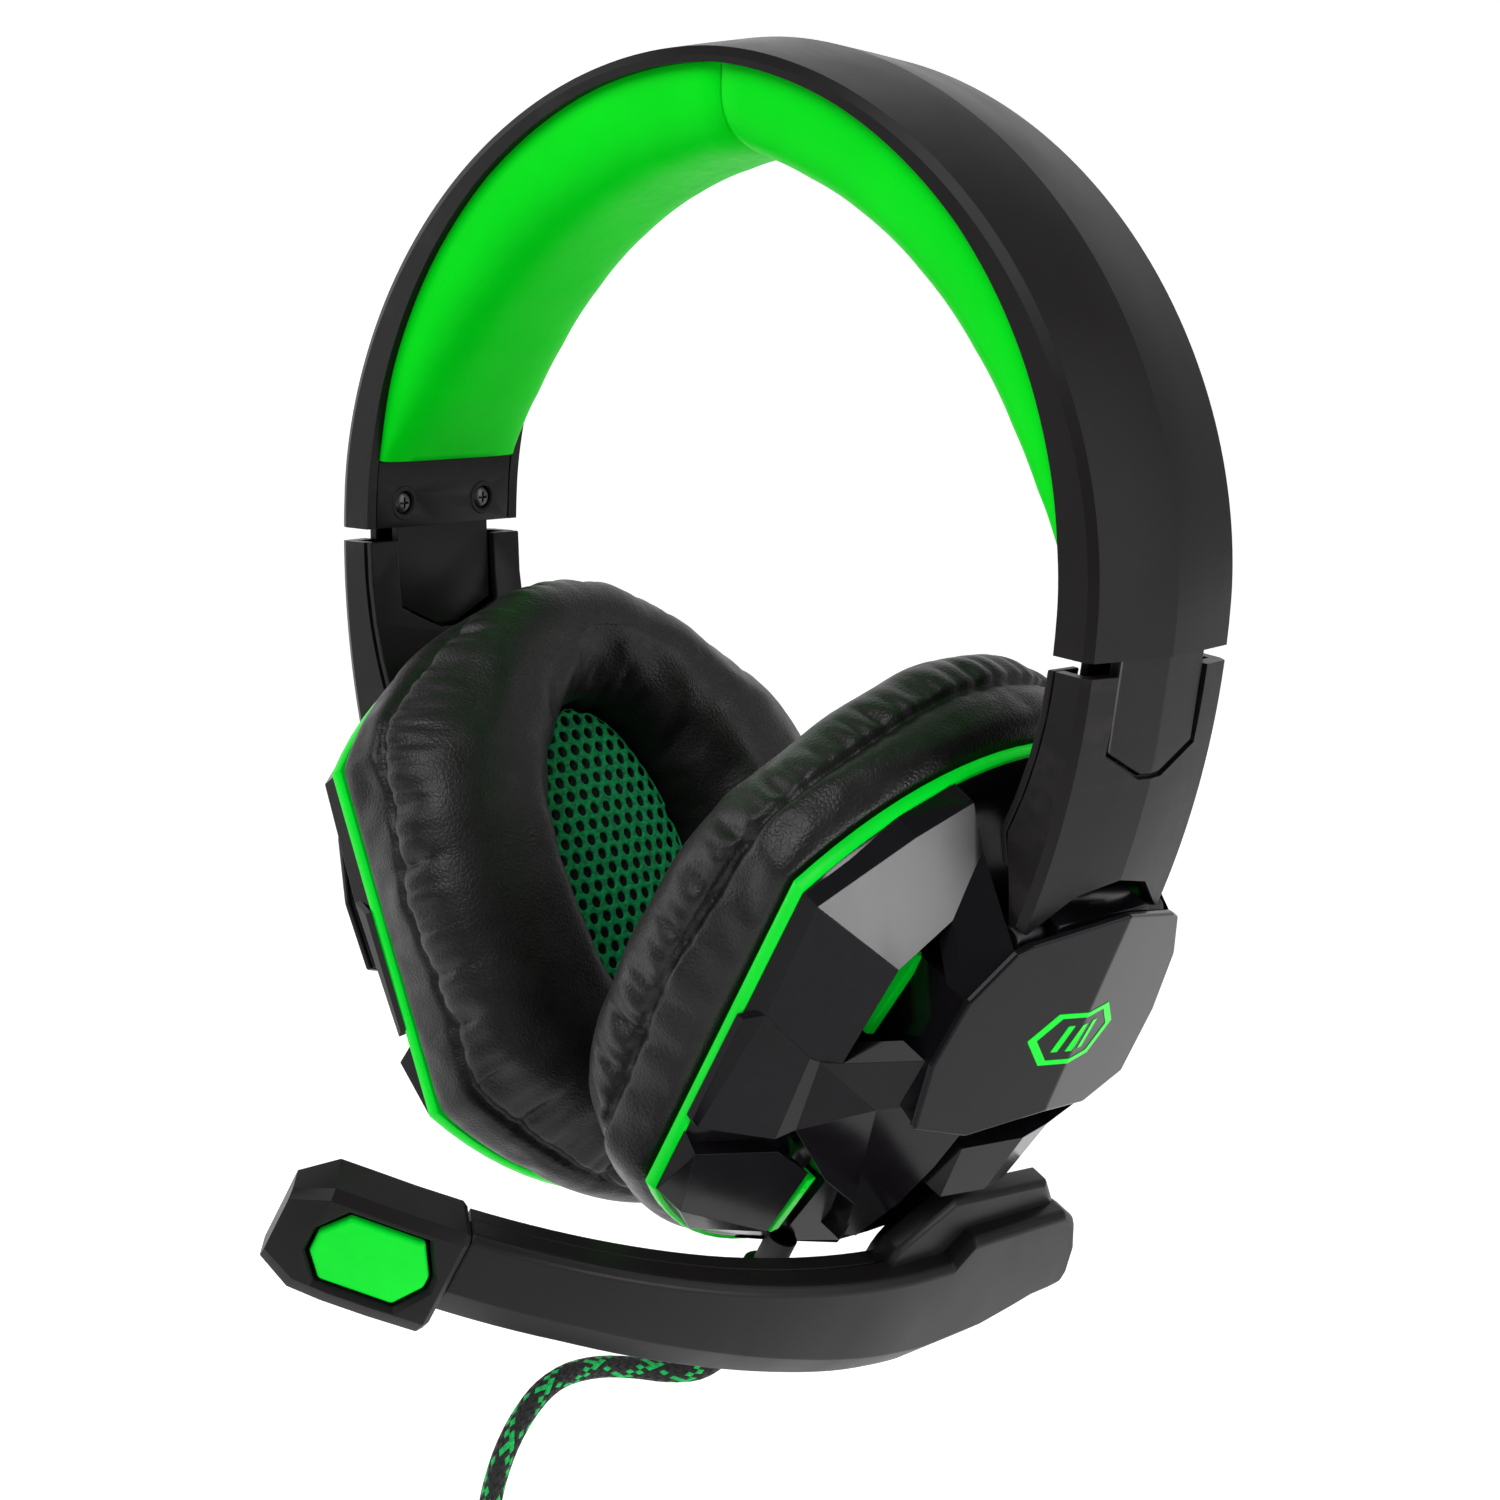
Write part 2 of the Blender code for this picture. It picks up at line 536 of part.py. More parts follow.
def build_boom(cup, side, materials):
    hub = empty("boom_pivot", (-side * HINGE_H, BOOM_Y, BOOM_S - HINGE_S), 0.0, cup, -BOOM_PITCH)
    black = materials["boom_black"]
    seat = BOOM_OUTER_H - BOOM_DEPTH

    def on_hub(a, b, height):
        return side * height, a, b

    collar = turned("boom_hub", [(8.5, 14.5), (10.0, 18.0), (10.0, seat - GAP)], 28, black, hub, on_hub)
    bore = turned("cutter_boom_bore", [(PIN_RADIUS + GAP, 5.0), (PIN_RADIUS + GAP, seat + 3.0)], 20, None, hub,
                  on_hub)
    combine(collar, bore, "DIFFERENCE")
    turned("boom_axle", [(PIN_RADIUS, 15.5), (PIN_RADIUS, seat + 2.2)], 20, materials["spring_steel"], hub, on_hub)
    outer_rows = []
    inner_rows = []
    for reach, top, belly in ((-40.0, 8.0, 0.0), (-36.0, 10.0, 1.5), (-24.0, 10.0, 6.0), (-8.0, 10.0, 8.0),
                              (10.0, 9.6, 7.0), (30.0, 9.3, 5.0), (50.0, 9.0, 3.2), (75.0, 9.0, 1.5),
                              (ARM_REACH, 9.0, 0.8)):
        low = 8.0 + belly
        outer_rows.append(boom_row(reach, top, low, 0.0, -5.5, side, facet=3.8))
        inner_rows.append(boom_row(reach, top - 0.4, low - 0.4, -5.5 - GAP, -BOOM_DEPTH, side, 0.2, 0.2))
    loft("boom_outer_shell", outer_rows, black, hub)
    combine(loft("boom_inner_shell", inner_rows, black, hub), bore, "DIFFERENCE")

    head = [boom_row(reach, top, low, outer, inner, side) for reach, top, low, outer, inner in
            ((ARM_REACH + GAP, 9.5, 11.5, 1.5, -9.0), (HEAD_REACH - 6.0, 9.5, 11.5, 1.5, -9.0),
             (HEAD_REACH, 5.5, 8.5, 0.0, -7.0))]
    shell = loft("microphone_head", head, black, hub)
    near, far = ARM_REACH + 4.0, HEAD_REACH - 6.0
    pocket = [boom_row(reach, 4.9, 7.9, 6.0, -5.5, side, 0.2, 0.2) for reach in (near, far)]
    combine(shell, loft("cutter_head_window", pocket, None, hub), "DIFFERENCE")
    window = [boom_row(reach, 4.6, 7.6, 1.4, -0.2, side, 0.2, 0.2) for reach in (near + GAP, far - GAP)]
    loft("microphone_window", window, materials["green_light"], hub)
    capsule = [boom_row(reach, 1.0, 5.0, -0.8, -4.8, side, 0.2, 0.2)
               for reach in (near + 6.0, near + 14.0)]
    loft("microphone_capsule", capsule, materials["driver_metal"], hub)


# ---------------------------------------------------------------- lead and plug

def lead_route():
    """Hand-placed points of the lead, from the strain relief to the coil, in the strap's frame."""
    return [(13.5, -12.0, -143.1), (11.8, -12.4, -146.6), (8.4, -14.0, -149.5), (3.6, -16.8, -150.6),
            (-0.8, -21.0, -150.1), (-3.8, -27.0, -149.4), (-4.8, -34.0, -149.3), (-4.8, -40.0, -150.6),
            (-4.4, -45.2, -153.6), (-4.1, -49.8, -158.6), (-4.0, -52.8, -165.0), (-4.0, -54.2, -172.0),
            (-4.0, -54.5, -180.0), (-4.0, -54.5, -188.0)]


def catmull_rom(points, steps):
    """A smooth curve through the points, with evenly many samples between each two."""
    path = [2 * Vector(points[0]) - Vector(points[1])] + [Vector(p) for p in points]
    path.append(2 * path[-1] - path[-2])
    curve = []
    for i in range(1, len(path) - 2):
        before, a, b, after = path[i - 1:i + 3]
        for step in range(steps):
            t = step / steps
            curve.append(0.5 * (2 * a + (b - before) * t + (2 * before - 5 * a + 4 * b - after) * t * t
                                + (3 * a - before - 3 * b + after) * t ** 3))
    curve.append(path[-2])
    return curve


def under_cup(side):
    """Maps a turned piece onto the axis of the strain relief, heights counted down from the cup's middle."""
    return lambda a, b, height: (side * (RELIEF_H + a - HINGE_H), RELIEF_Y + b, -height - HINGE_S)


def build_lead(cup, frame, side, materials):
    relief = [(RELIEF_NECK, 49.0), (RELIEF_NECK, 56.2), (4.4, 56.2), (4.4, 58.5), (3.5, 60.5), (2.9, RELIEF_END)]
    turned("strain_relief", relief, 20, materials["rubber_black"], cup, under_cup(side))

    cord("lead", lead_route(), frame, materials["lead_braid"])

    end = Vector(lead_route()[-1])
    drop = math.sqrt((COIL_RADIUS + BUNDLE_RADIUS) ** 2 - (COIL_RADIUS - LEAD_DIAMETER / 2) ** 2) + 2 * GAP
    centre = end + Vector((0.0, COIL_RADIUS, -drop))
    rows = []
    for i in range(28):
        angle = 2 * math.pi * i / 28
        around = Vector((0.0, math.cos(angle), math.sin(angle)))
        rows.append([tuple(centre + around * (COIL_RADIUS + r) + Vector((x, 0.0, 0.0)))
                     for r, x in circle(BUNDLE_RADIUS, 8)])
    loft("lead_coil", rows, materials["lead_braid"], frame, closed=True, smooth=60.0)

    rings = [(TIE_INNER, -4.0), (TIE_INNER, 4.0), (TIE_INNER + 1.2, 4.0), (TIE_INNER + 1.2, -4.0)]
    rows = [[(centre.x + a, centre.y + along, centre.z + COIL_RADIUS + b) for a, b in circle(radius, 16)]
            for radius, along in rings]
    loft("lead_tie", rows, materials["rubber_black"], frame, closed=True)

    top = centre + Vector((0.0, COIL_RADIUS, -drop))
    tail = [tuple(top - Vector((0.0, 0.0, depth))) for depth in (0.0, 8.0, 16.0, TAIL)]
    cord("lead_tail", tail, frame, materials["lead_braid"])
    build_plug(top - Vector((0.0, 0.0, TAIL + GAP)), frame, materials)


def cord(name, route, frame, material):
    """A round cord through a route, as a curve with a round bevel and filled ends."""
    curve = bpy.data.curves.new(name, "CURVE")
    curve.dimensions = "3D"
    curve.bevel_depth = LEAD_DIAMETER / 2 * MM
    curve.bevel_resolution = 2
    curve.use_fill_caps = True
    points = catmull_rom(route, 3)
    spline = curve.splines.new("POLY")
    spline.points.add(len(points) - 1)
    for slot, point in zip(spline.points, points):
        slot.co = (*(point * MM), 1.0)
    add_object(name, curve, material, frame)


def build_plug(top, frame, materials):
    """A straight four-pole 3.5 mm plug hanging with its tip down."""
    def hanging(a, b, height):
        return top.x + a, top.y + b, top.z - height

    socket = PLUG_LENGTH - 3.0
    body = [(2.6, 0.0), (3.2, 10.0), (PLUG_RADIUS, 12.0), (PLUG_RADIUS, PLUG_LENGTH - 1.0), (4.0, PLUG_LENGTH),
            (2.6 + GAP, PLUG_LENGTH), (2.6 + GAP, socket)]
    turned("plug_body", body, 24, materials["rubber_black"], frame, hanging)
    tip = PLUG_LENGTH + 14.0
    pin = [(2.6, socket + GAP), (2.6, PLUG_LENGTH - GAP), (1.75, PLUG_LENGTH - GAP), (1.75, tip - 3.6),
           (1.3, tip - 3.0), (1.75, tip - 1.8), (0.6, tip)]
    turned("plug_pin", pin, 20, materials["plug_metal"], frame, hanging)


MATERIALS = {
    "shell_black": ((0.012, 0.012, 0.014), 0.35, 0.0),
    "gloss_black": ((0.008, 0.008, 0.010), 0.12, 0.0),
    "boom_black": ((0.014, 0.013, 0.014), 0.5, 0.0),
    "green_vinyl": ((0.02, 0.75, 0.04), 0.45, 0.0),
    "green_light": ((0.01, 0.85, 0.05), 0.3, 0.0),
    "green_mesh": ((0.0, 0.16, 0.05), 0.8, 0.0),
    "dark_foam": ((0.006, 0.006, 0.006), 0.95, 0.0),
    "leatherette": ((0.012, 0.011, 0.012), 0.5, 0.0),
    "rubber_black": ((0.012, 0.012, 0.012), 0.7, 0.0),
    "lead_braid": ((0.015, 0.05, 0.02), 0.8, 0.0),
    "spring_steel": ((0.55, 0.56, 0.58), 0.3, 1.0),
    "screw_steel": ((0.30, 0.30, 0.31), 0.35, 1.0),
    "plug_metal": ((0.75, 0.62, 0.32), 0.25, 1.0),
    "driver_metal": ((0.35, 0.35, 0.36), 0.4, 1.0),
    "board_green": ((0.01, 0.12, 0.05), 0.5, 0.0),
}


def main():
    for thing in list(bpy.data.objects):
        bpy.data.objects.remove(thing, do_unlink=True)
    materials = {name: make_material(name, *values) for name, values in MATERIALS.items()}
    arch = empty("arch_centre", (0.0, 0.0, CROWN_Z))
    build_strap(arch, materials)
    for side, label in ((1, "left"), (-1, "right")):
        build_strap_end(arch, side, label, materials)
        build_pad(arch, side, label, materials)
        build_arm(arch, side, label, materials)
        hinge = empty(f"cup_hinge_{label}", (side * HINGE_X, 0.0, -HINGE_BELOW), side * CUP_TILT, arch)
        build_housing(hinge, side, label, materials)
        build_keel_plate(hinge, side, label, materials)
        build_cup_inside(hinge, side, label, materials)
        build_cushion(hinge, side, label, materials)
        if side == 1:
            build_boom(hinge, side, materials)
            build_lead(hinge, arch, side, materials)


main()
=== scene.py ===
"""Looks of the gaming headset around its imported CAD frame.

Lengths are in millimetres, unless they are times MM or a comment says otherwise.
"""
import math

import bmesh
import bpy
import numpy as np
from mathutils import Matrix, Vector


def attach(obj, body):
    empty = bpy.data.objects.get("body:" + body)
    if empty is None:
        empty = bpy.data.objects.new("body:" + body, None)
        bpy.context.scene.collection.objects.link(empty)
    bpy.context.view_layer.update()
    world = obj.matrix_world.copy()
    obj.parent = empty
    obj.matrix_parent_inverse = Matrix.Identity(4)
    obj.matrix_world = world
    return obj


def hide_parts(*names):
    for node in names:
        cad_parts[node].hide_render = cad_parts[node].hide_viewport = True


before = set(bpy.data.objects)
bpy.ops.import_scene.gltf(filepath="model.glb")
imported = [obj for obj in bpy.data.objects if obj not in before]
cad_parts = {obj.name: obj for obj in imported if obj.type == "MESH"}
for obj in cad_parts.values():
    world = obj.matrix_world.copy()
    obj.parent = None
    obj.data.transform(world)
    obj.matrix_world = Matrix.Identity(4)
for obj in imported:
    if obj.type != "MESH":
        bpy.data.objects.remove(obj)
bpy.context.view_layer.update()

MM = 0.001
SIDES = ((1, "left"), (-1, "right"))

# Strap and arms, as in the CAD
CROWN_Z = -68.5                # the strap's widest level, in the frame
HALF_SPAN, RISE = 87.7, 86.3   # of the strap's outer edge
SQUARENESS = 1.92              # exponent of the arch; 2 is an ellipse
SIDE_RADIUS = 150.0            # of the sides below the widest level
HALF_WIDTH, RIDGE = 20.0, 2.2  # of the strap, and of its outer face above the edges
SKIN = 2.4
STRAP_END = 7.3                # below the widest level, like the arms' levels
ARM_TOP, ARM_BOTTOM = 9.9, 45.5
TONGUE_HALF = 12.0

# Cups and boom, as in the CAD
COS, SIN = math.cos(math.radians(26.4)), math.sin(math.radians(26.4))
HINGE_X, HINGE_BELOW, HINGE_H, HINGE_S = 75.5, 55.0, 22.9, 32.1
CUP_HALF, CUP_TOP, CUP_DROP = 50.0, 52.5, 55.5         # of the cup's outline, about its middle
SIDE_TOP, SIDE_LOW = 31.0, -33.0                       # ends of the outline's straight sides
EAR_HALF, EAR_RISE = 21.0, 35.0                        # half the opening's width and height
BOOM_RADIUS, BOOM_LEVEL = 154.0, 32.0                  # of its outer face, which curves round the cheek
HUB_Y, HUB_S, HUB_REACH = 12.0, -49.5, -12.0           # the hub's axis in the cup and along the boom
BOOM_PITCH = math.radians(-4.0)


# ---------------------------------------------------------------- places

def arch(x, y, z):
    """A point of the strap's frame, whose z is 0 at the strap's widest level."""
    return Vector((x, y, z + CROWN_Z)) * MM


def cup(side, h, y, s):
    """A point of a cup's frame: h outward from the light ring, s up along the cup."""
    x = HINGE_X + (h - HINGE_H) * COS + (s - HINGE_S) * SIN
    z = -HINGE_BELOW - (h - HINGE_H) * SIN + (s - HINGE_S) * COS
    return arch(side * x, y, z)


def rim(station):
    """Strap edge at a station in degrees, 0 on the left, 90 at the crown: x, z and outward x, z."""
    if station > 90.0:
        x, z, out_x, out_z = rim(180.0 - station)
        return -x, z, -out_x, out_z
    cosine, sine = math.cos(math.radians(station)), math.sin(math.radians(station))
    if station < 0.0:
        return HALF_SPAN - SIDE_RADIUS * (1.0 - cosine), SIDE_RADIUS * sine, cosine, sine
    n = SQUARENESS
    reach = ((cosine / HALF_SPAN) ** n + (sine / RISE) ** n) ** (-1.0 / n)
    out_x, out_z = cosine ** (n - 1.0) / HALF_SPAN ** n, sine ** (n - 1.0) / RISE ** n
    size = math.hypot(out_x, out_z)
    return reach * cosine, reach * sine, out_x / size, out_z / size


def strap(station, y, r, side=1):
    """A point at r outward from the strap's edge."""
    x, z, out_x, out_z = rim(station)
    return arch(side * (x + out_x * r), y, z + out_z * r)


def below(depth):
    """Station at a depth below the widest level."""
    return -math.degrees(math.asin(depth / SIDE_RADIUS))


def roof(y):
    """Height of the strap's ridged outer face above its edges."""
    return RIDGE * (1.0 - abs(y) / HALF_WIDTH)


def boom(reach, r, across):
    """A point of the boom: reach along it, r outward from its face, across it upward."""
    angle = max(reach, 0.0) / BOOM_RADIUS
    forward = min(reach, 0.0) + BOOM_RADIUS * math.sin(angle)
    level = BOOM_LEVEL - BOOM_RADIUS * (1.0 - math.cos(angle))
    local_y = -forward - r * math.sin(angle) + HUB_REACH
    y = HUB_Y + local_y * math.cos(BOOM_PITCH) - across * math.sin(BOOM_PITCH)
    s = HUB_S + local_y * math.sin(BOOM_PITCH) + across * math.cos(BOOM_PITCH)
    return cup(1, level + r * math.cos(angle), y, s)


def cup_outline(inset=0.0, steps=24):
    """Points (y, s) round the cup's outline: an arc above, an arc below and two straight sides."""
    half = CUP_HALF - inset
    straight = SIDE_TOP - SIDE_LOW
    above = (CUP_TOP - inset - SIDE_TOP, SIDE_TOP, 1)
    beneath = (SIDE_LOW + CUP_DROP - inset, SIDE_LOW, -1)
    points = []
    for rise, start, direction in (above, beneath):
        radius = (half * half + rise * rise) / (2.0 * rise)
        sweep = math.asin(half / radius)
        for i in range(steps + 1):
            angle = sweep * (1.0 - 2.0 * i / steps) * direction
            s = start + direction * (radius * (math.cos(angle) - 1.0) + rise)
            points.append((radius * math.sin(angle), s))
        if direction == 1:
            points += [(-half, SIDE_TOP - straight * t / 8) for t in range(1, 8)]
    points += [(half, SIDE_LOW + straight * t / 8) for t in range(1, 8)]
    return points


# ---------------------------------------------------------------- meshes

def put(name, data):
    """A new object of a mesh, lamp or camera, in the scene."""
    thing = bpy.data.objects.new(name, data)
    bpy.context.scene.collection.objects.link(thing)
    return thing


def circle(radius, sides):
    """Points round a circle, the first on its first axis."""
    angles = [2 * math.pi * i / sides for i in range(sides)]
    return [(radius * math.cos(a), radius * math.sin(a)) for a in angles]


def turned(profile, sides, at):
    """Loops of a turned piece: each (radius, height) of its profile, every point placed by at."""
    return [[at(a, b, height) for a, b in circle(radius, sides)] for radius, height in profile]


def settle(thing, sharp=30.0):
    """Makes the modifiers' result the mesh, smooth but for edges sharper than the angle."""
    graph = bpy.context.evaluated_depsgraph_get()
    mesh = bpy.data.meshes.new_from_object(thing.evaluated_get(graph))
    thing.modifiers.clear()
    old = thing.data
    thing.data = mesh
    bpy.data.meshes.remove(old)
    mesh.name = thing.name
    if sharp:
        mesh.shade_smooth()
        mesh.set_sharp_from_angle(angle=math.radians(sharp))
    return thing


def make(name, points, faces, sharp=30.0):
    """A closed mesh from points in metres, its normals outward."""
    mesh = bpy.data.meshes.new(name)
    mesh.from_pydata([tuple(p) for p in points], [], faces)
    shell = bmesh.new()
    shell.from_mesh(mesh)
    bmesh.ops.remove_doubles(shell, verts=shell.verts, dist=1e-6)
    bmesh.ops.recalc_face_normals(shell, faces=shell.faces)
    if shell.calc_volume(signed=True) < 0:
        bmesh.ops.reverse_faces(shell, faces=shell.faces)
    shell.to_mesh(mesh)
    shell.free()
    mesh.shade_smooth()
    mesh.set_sharp_from_angle(angle=math.radians(sharp))
    return put(name, mesh)


def loft(rows, closed=False):
    """Points and faces that join loops of points; a closed loft is a ring, an open one is capped."""
    count = len(rows[0])
    points = [p for row in rows for p in row]
    faces = []
    for i in range(len(rows) if closed else len(rows) - 1):
        a, b = i * count, (i + 1) % len(rows) * count
        faces += [(a + j, a + (j + 1) % count, b + (j + 1) % count, b + j) for j in range(count)]
    if not closed:
        faces += [tuple(range(count)), tuple(range(len(points) - count, len(points)))]
    return points, faces


def thick(outer, inner):
    """Points and faces between two grids of the same size, closed round their edges."""
    rows, count = len(outer), len(outer[0])
    points = [p for row in outer for p in row] + [p for row in inner for p in row]
    shift = rows * count
    faces = []
    for i in range(rows - 1):
        for j in range(count - 1):
            a = i * count + j
            faces += [(a, a + 1, a + count + 1, a + count),
                      (a + shift, a + count + shift, a + count + 1 + shift, a + 1 + shift)]
    border = list(range(count)) + [i * count + count - 1 for i in range(1, rows)]
    border += [(rows - 1) * count + j for j in range(count - 2, -1, -1)]
    border += [i * count for i in range(rows - 2, 0, -1)]
    for a, b in zip(border, border[1:] + border[:1]):
        faces.append((a, b, b + shift, a + shift))
    return points, faces


def bevel(thing, width, angle=20.0, harden=False):
    """Rounds edges sharper than the angle; hardened normals keep the facets between them flat."""
    change = thing.modifiers.new("Bevel", "BEVEL")
    change.width = width * MM
    change.segments = 2
    change.limit_method = "ANGLE"
    change.angle_limit = math.radians(angle)
    change.use_clamp_overlap = True
    change.harden_normals = harden
    if harden:
        thing.data.shade_smooth()
    return thing


def rounded(thing, width, angle, sharp):
    """Rounds edges sharper than one angle, then smooths the mesh but for edges sharper than the other."""
    return settle(bevel(thing, width, angle), sharp)


def carve(thing, tool):
    """Cuts a mesh with another, which is then removed."""
    change = thing.modifiers.new("Carve", "BOOLEAN")
    change.operation = "DIFFERENCE"
    change.object = tool
    change.solver = "EXACT"
    settle(thing)
    bpy.data.objects.remove(tool)
    return thing


def give(thing, body, slot, nodes=()):
    """Puts a finished piece on its body, in its slot, in place of CAD nodes."""
    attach(thing, body)
    if not thing.data.materials:
        thing.data.materials.append(LOOKS[slot])
    if nodes:
        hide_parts(*nodes)
    return thing


def join(name, things):
    """One object of several, which are removed."""
    shell = bmesh.new()
    for thing in things:
        shell.from_mesh(thing.data)
        bpy.data.objects.remove(thing)
    mesh = bpy.data.meshes.new(name)
    shell.to_mesh(mesh)
    shell.free()
    return put(name, mesh)


def smooth_step(t):
    """Eases from 0 to 1."""
    t = min(1.0, max(0.0, t))
    return t * t * (3.0 - 2.0 * t)


def curve_through(points, steps):
    """A smooth curve through points, with this many samples from each to the next."""
    points = [np.array(p, float) for p in points]
    path = [2 * points[0] - points[1]] + points + [2 * points[-1] - points[-2]]
    out = []
    for i in range(1, len(path) - 2):
        before, a, b, after = path[i - 1:i + 3]
        for step in range(steps):
            t = step / steps
            out.append(0.5 * (2 * a + (b - before) * t + (2 * before - 5 * a + 4 * b - after) * t * t
                              + (3 * a - before - 3 * b + after) * t ** 3))
    out.append(points[-1])
    return out


# ---------------------------------------------------------------- materials

class Nodes:
    """Builds a material's nodes with short calls."""

    def __init__(self, name, colour, roughness, metallic=0.0):
        self.material = bpy.data.materials.new(name)
        self.material.use_nodes = True
        self.tree = self.material.node_tree
        self.shader = self.tree.nodes["Principled BSDF"]
        self.shader.inputs["Base Color"].default_value = (*colour, 1.0)
        self.shader.inputs["Roughness"].default_value = roughness
        self.shader.inputs["Metallic"].default_value = metallic
        self.place = self.add("ShaderNodeTexCoord").outputs["Object"]
        self.height = None

    def add(self, kind, **values):
        node = self.tree.nodes.new(kind)
        for key, value in values.items():
            if hasattr(node, key):
                setattr(node, key, value)
            else:
                node.inputs[key.replace("_", " ")].default_value = value
        return node

    def link(self, start, end):
        self.tree.links.new(start, end)

    def scaled(self, x, y, z):
        node = self.add("ShaderNodeMapping")
        node.inputs["Scale"].default_value = (x, y, z)
        self.link(self.place, node.inputs["Vector"])
        return node.outputs["Vector"]

    def noise(self, scale, detail=3.0, roughness=0.55, place=None, distortion=0.0):
        values = {"Scale": scale, "Detail": detail, "Roughness": roughness, "Distortion": distortion}
        node = self.add("ShaderNodeTexNoise", **values)
        self.link(place or self.place, node.inputs["Vector"])
        return node.outputs["Fac"]

    def cells(self, scale, feature="F1"):
        node = self.add("ShaderNodeTexVoronoi", Scale=scale)
        node.feature = feature
        self.link(self.place, node.inputs["Vector"])
        return node.outputs["Distance"]

    def cloud(self, scale, detail=3.0, to_low=0.0, to_high=1.0):
        """Soft noise spread over the range."""
        return self.spread(self.noise(scale, detail), 0.3, 0.7, to_low, to_high)

    def spread(self, value, low, high, to_low=0.0, to_high=1.0):
        node = self.add("ShaderNodeMapRange")
        for key, number in (("From Min", low), ("From Max", high), ("To Min", to_low), ("To Max", to_high)):
            node.inputs[key].default_value = number
        self.link(value, node.inputs["Value"])
        return node.outputs["Result"]

    def maths(self, operation, a, b=None, c=None):
        node = self.add("ShaderNodeMath")
        node.operation = operation
        for i, value in enumerate((a, b, c)):
            if value is None:
                continue
            if isinstance(value, (int, float)):
                node.inputs[i].default_value = value
            else:
                self.link(value, node.inputs[i])
        return node.outputs["Value"]

    def mix(self, factor, a, b):
        node = self.add("ShaderNodeMix")
        node.data_type = "RGBA"
        sockets = [s for s in node.inputs if s.enabled]
        for value, socket in zip((factor, a, b), sockets):
            if isinstance(value, tuple):
                socket.default_value = (*value, 1.0)
            elif isinstance(value, (int, float)):
                socket.default_value = value
            else:
                self.link(value, socket)
        return [s for s in node.outputs if s.enabled][0]

    def colour(self, value):
        self.link(value, self.shader.inputs["Base Color"])

    def rough(self, value):
        self.link(value, self.shader.inputs["Roughness"])

    def bump(self, value, depth):
        """Adds a relief of this depth in millimetres."""
        node = self.add("ShaderNodeBump")
        node.inputs["Strength"].default_value = 1.0
        node.inputs["Distance"].default_value = depth * MM
        self.link(value, node.inputs["Height"])
        if self.height is not None:
            self.link(self.height, node.inputs["Normal"])
        self.height = node.outputs["Normal"]
        self.link(self.height, self.shader.inputs["Normal"])

    def set(self, **values):
        for key, value in values.items():
            self.shader.inputs[key.replace("_", " ")].default_value = value


def tint(base, share):
    """A colour made darker or lighter by a factor."""
    return tuple(share * c for c in base)


def scuffs_and_painted_edge_highlight(nodes, base, light, amount):
    """Mottles the colour a little and lightens convex edges: partly scuffing, partly a painted edge
    highlight.
    """
    patches = nodes.noise(60.0, 4.0)
    scuffed_and_highlit_edges = nodes.spread(nodes.add("ShaderNodeNewGeometry").outputs["Pointiness"], 0.53, 0.62)
    broken = nodes.maths("MULTIPLY", scuffed_and_highlit_edges, nodes.spread(nodes.noise(420.0, 4.0), 0.35, 0.7))
    mottled = nodes.mix(nodes.spread(patches, 0.3, 0.7), base, tint(base, 1.25))
    # lighter convex edges: partly scuffing, partly a painted edge highlight
    nodes.colour(nodes.mix(nodes.maths("MULTIPLY", broken, amount), mottled, light))


def plastic(name, base, rough_low, rough_high, grain, depth, shine, edge_scuff_and_highlight=0.35):
    """Moulded plastic: fine grain, handling marks in the gloss, and lighter edges that are partly scuffing
    and partly a painted highlight.
    """
    nodes = Nodes(name, base, rough_low)
    # lighter edges: partly scuffing, partly a painted edge highlight
    scuffs_and_painted_edge_highlight(nodes, base, tint(base, 4.0), edge_scuff_and_highlight)
    smears = nodes.noise(1.0, 5.0, 0.6, nodes.scaled(35.0, 60.0, 22.0), 0.6)
    nodes.rough(nodes.spread(smears, 0.3, 0.75, rough_low, rough_high))
    nodes.bump(nodes.noise(grain, 2.0), depth)
    nodes.bump(nodes.noise(28.0, 1.0), 0.02)
    nodes.set(Specular_IOR_Level=shine)
    return nodes.material


def painted_glow_plastic(name, base, glow):
    """Translucent green plastic with a painted glow: its emission brightens it, though no lamp is behind it.
    """
    nodes = Nodes(name, base, 0.28)
    depth = nodes.cloud(90.0)
    nodes.colour(nodes.mix(depth, base, tint(base, 0.88)))
    nodes.rough(nodes.cloud(300.0, 3.0, 0.22, 0.36))
    nodes.bump(nodes.noise(1600.0, 2.0), 0.01)
    # painted glow: the emission stands in for light the plastic does not give
    nodes.set(Emission_Color=(*base, 1.0), Emission_Strength=glow, Specular_IOR_Level=0.1)
    return nodes.material


def vinyl(name, base):
    """Smooth soft vinyl over foam, with a faint leather grain."""
    nodes = Nodes(name, base, 0.42)
    tone = nodes.cloud(45.0)
    nodes.colour(nodes.mix(tone, base, tint(base, 0.9)))
    nodes.rough(nodes.cloud(520.0, 3.0, 0.38, 0.5))
    nodes.bump(nodes.cells(1500.0), 0.012)
    nodes.bump(nodes.noise(60.0, 2.0), 0.12)
    nodes.set(Specular_IOR_Level=0.03)
    return nodes.material


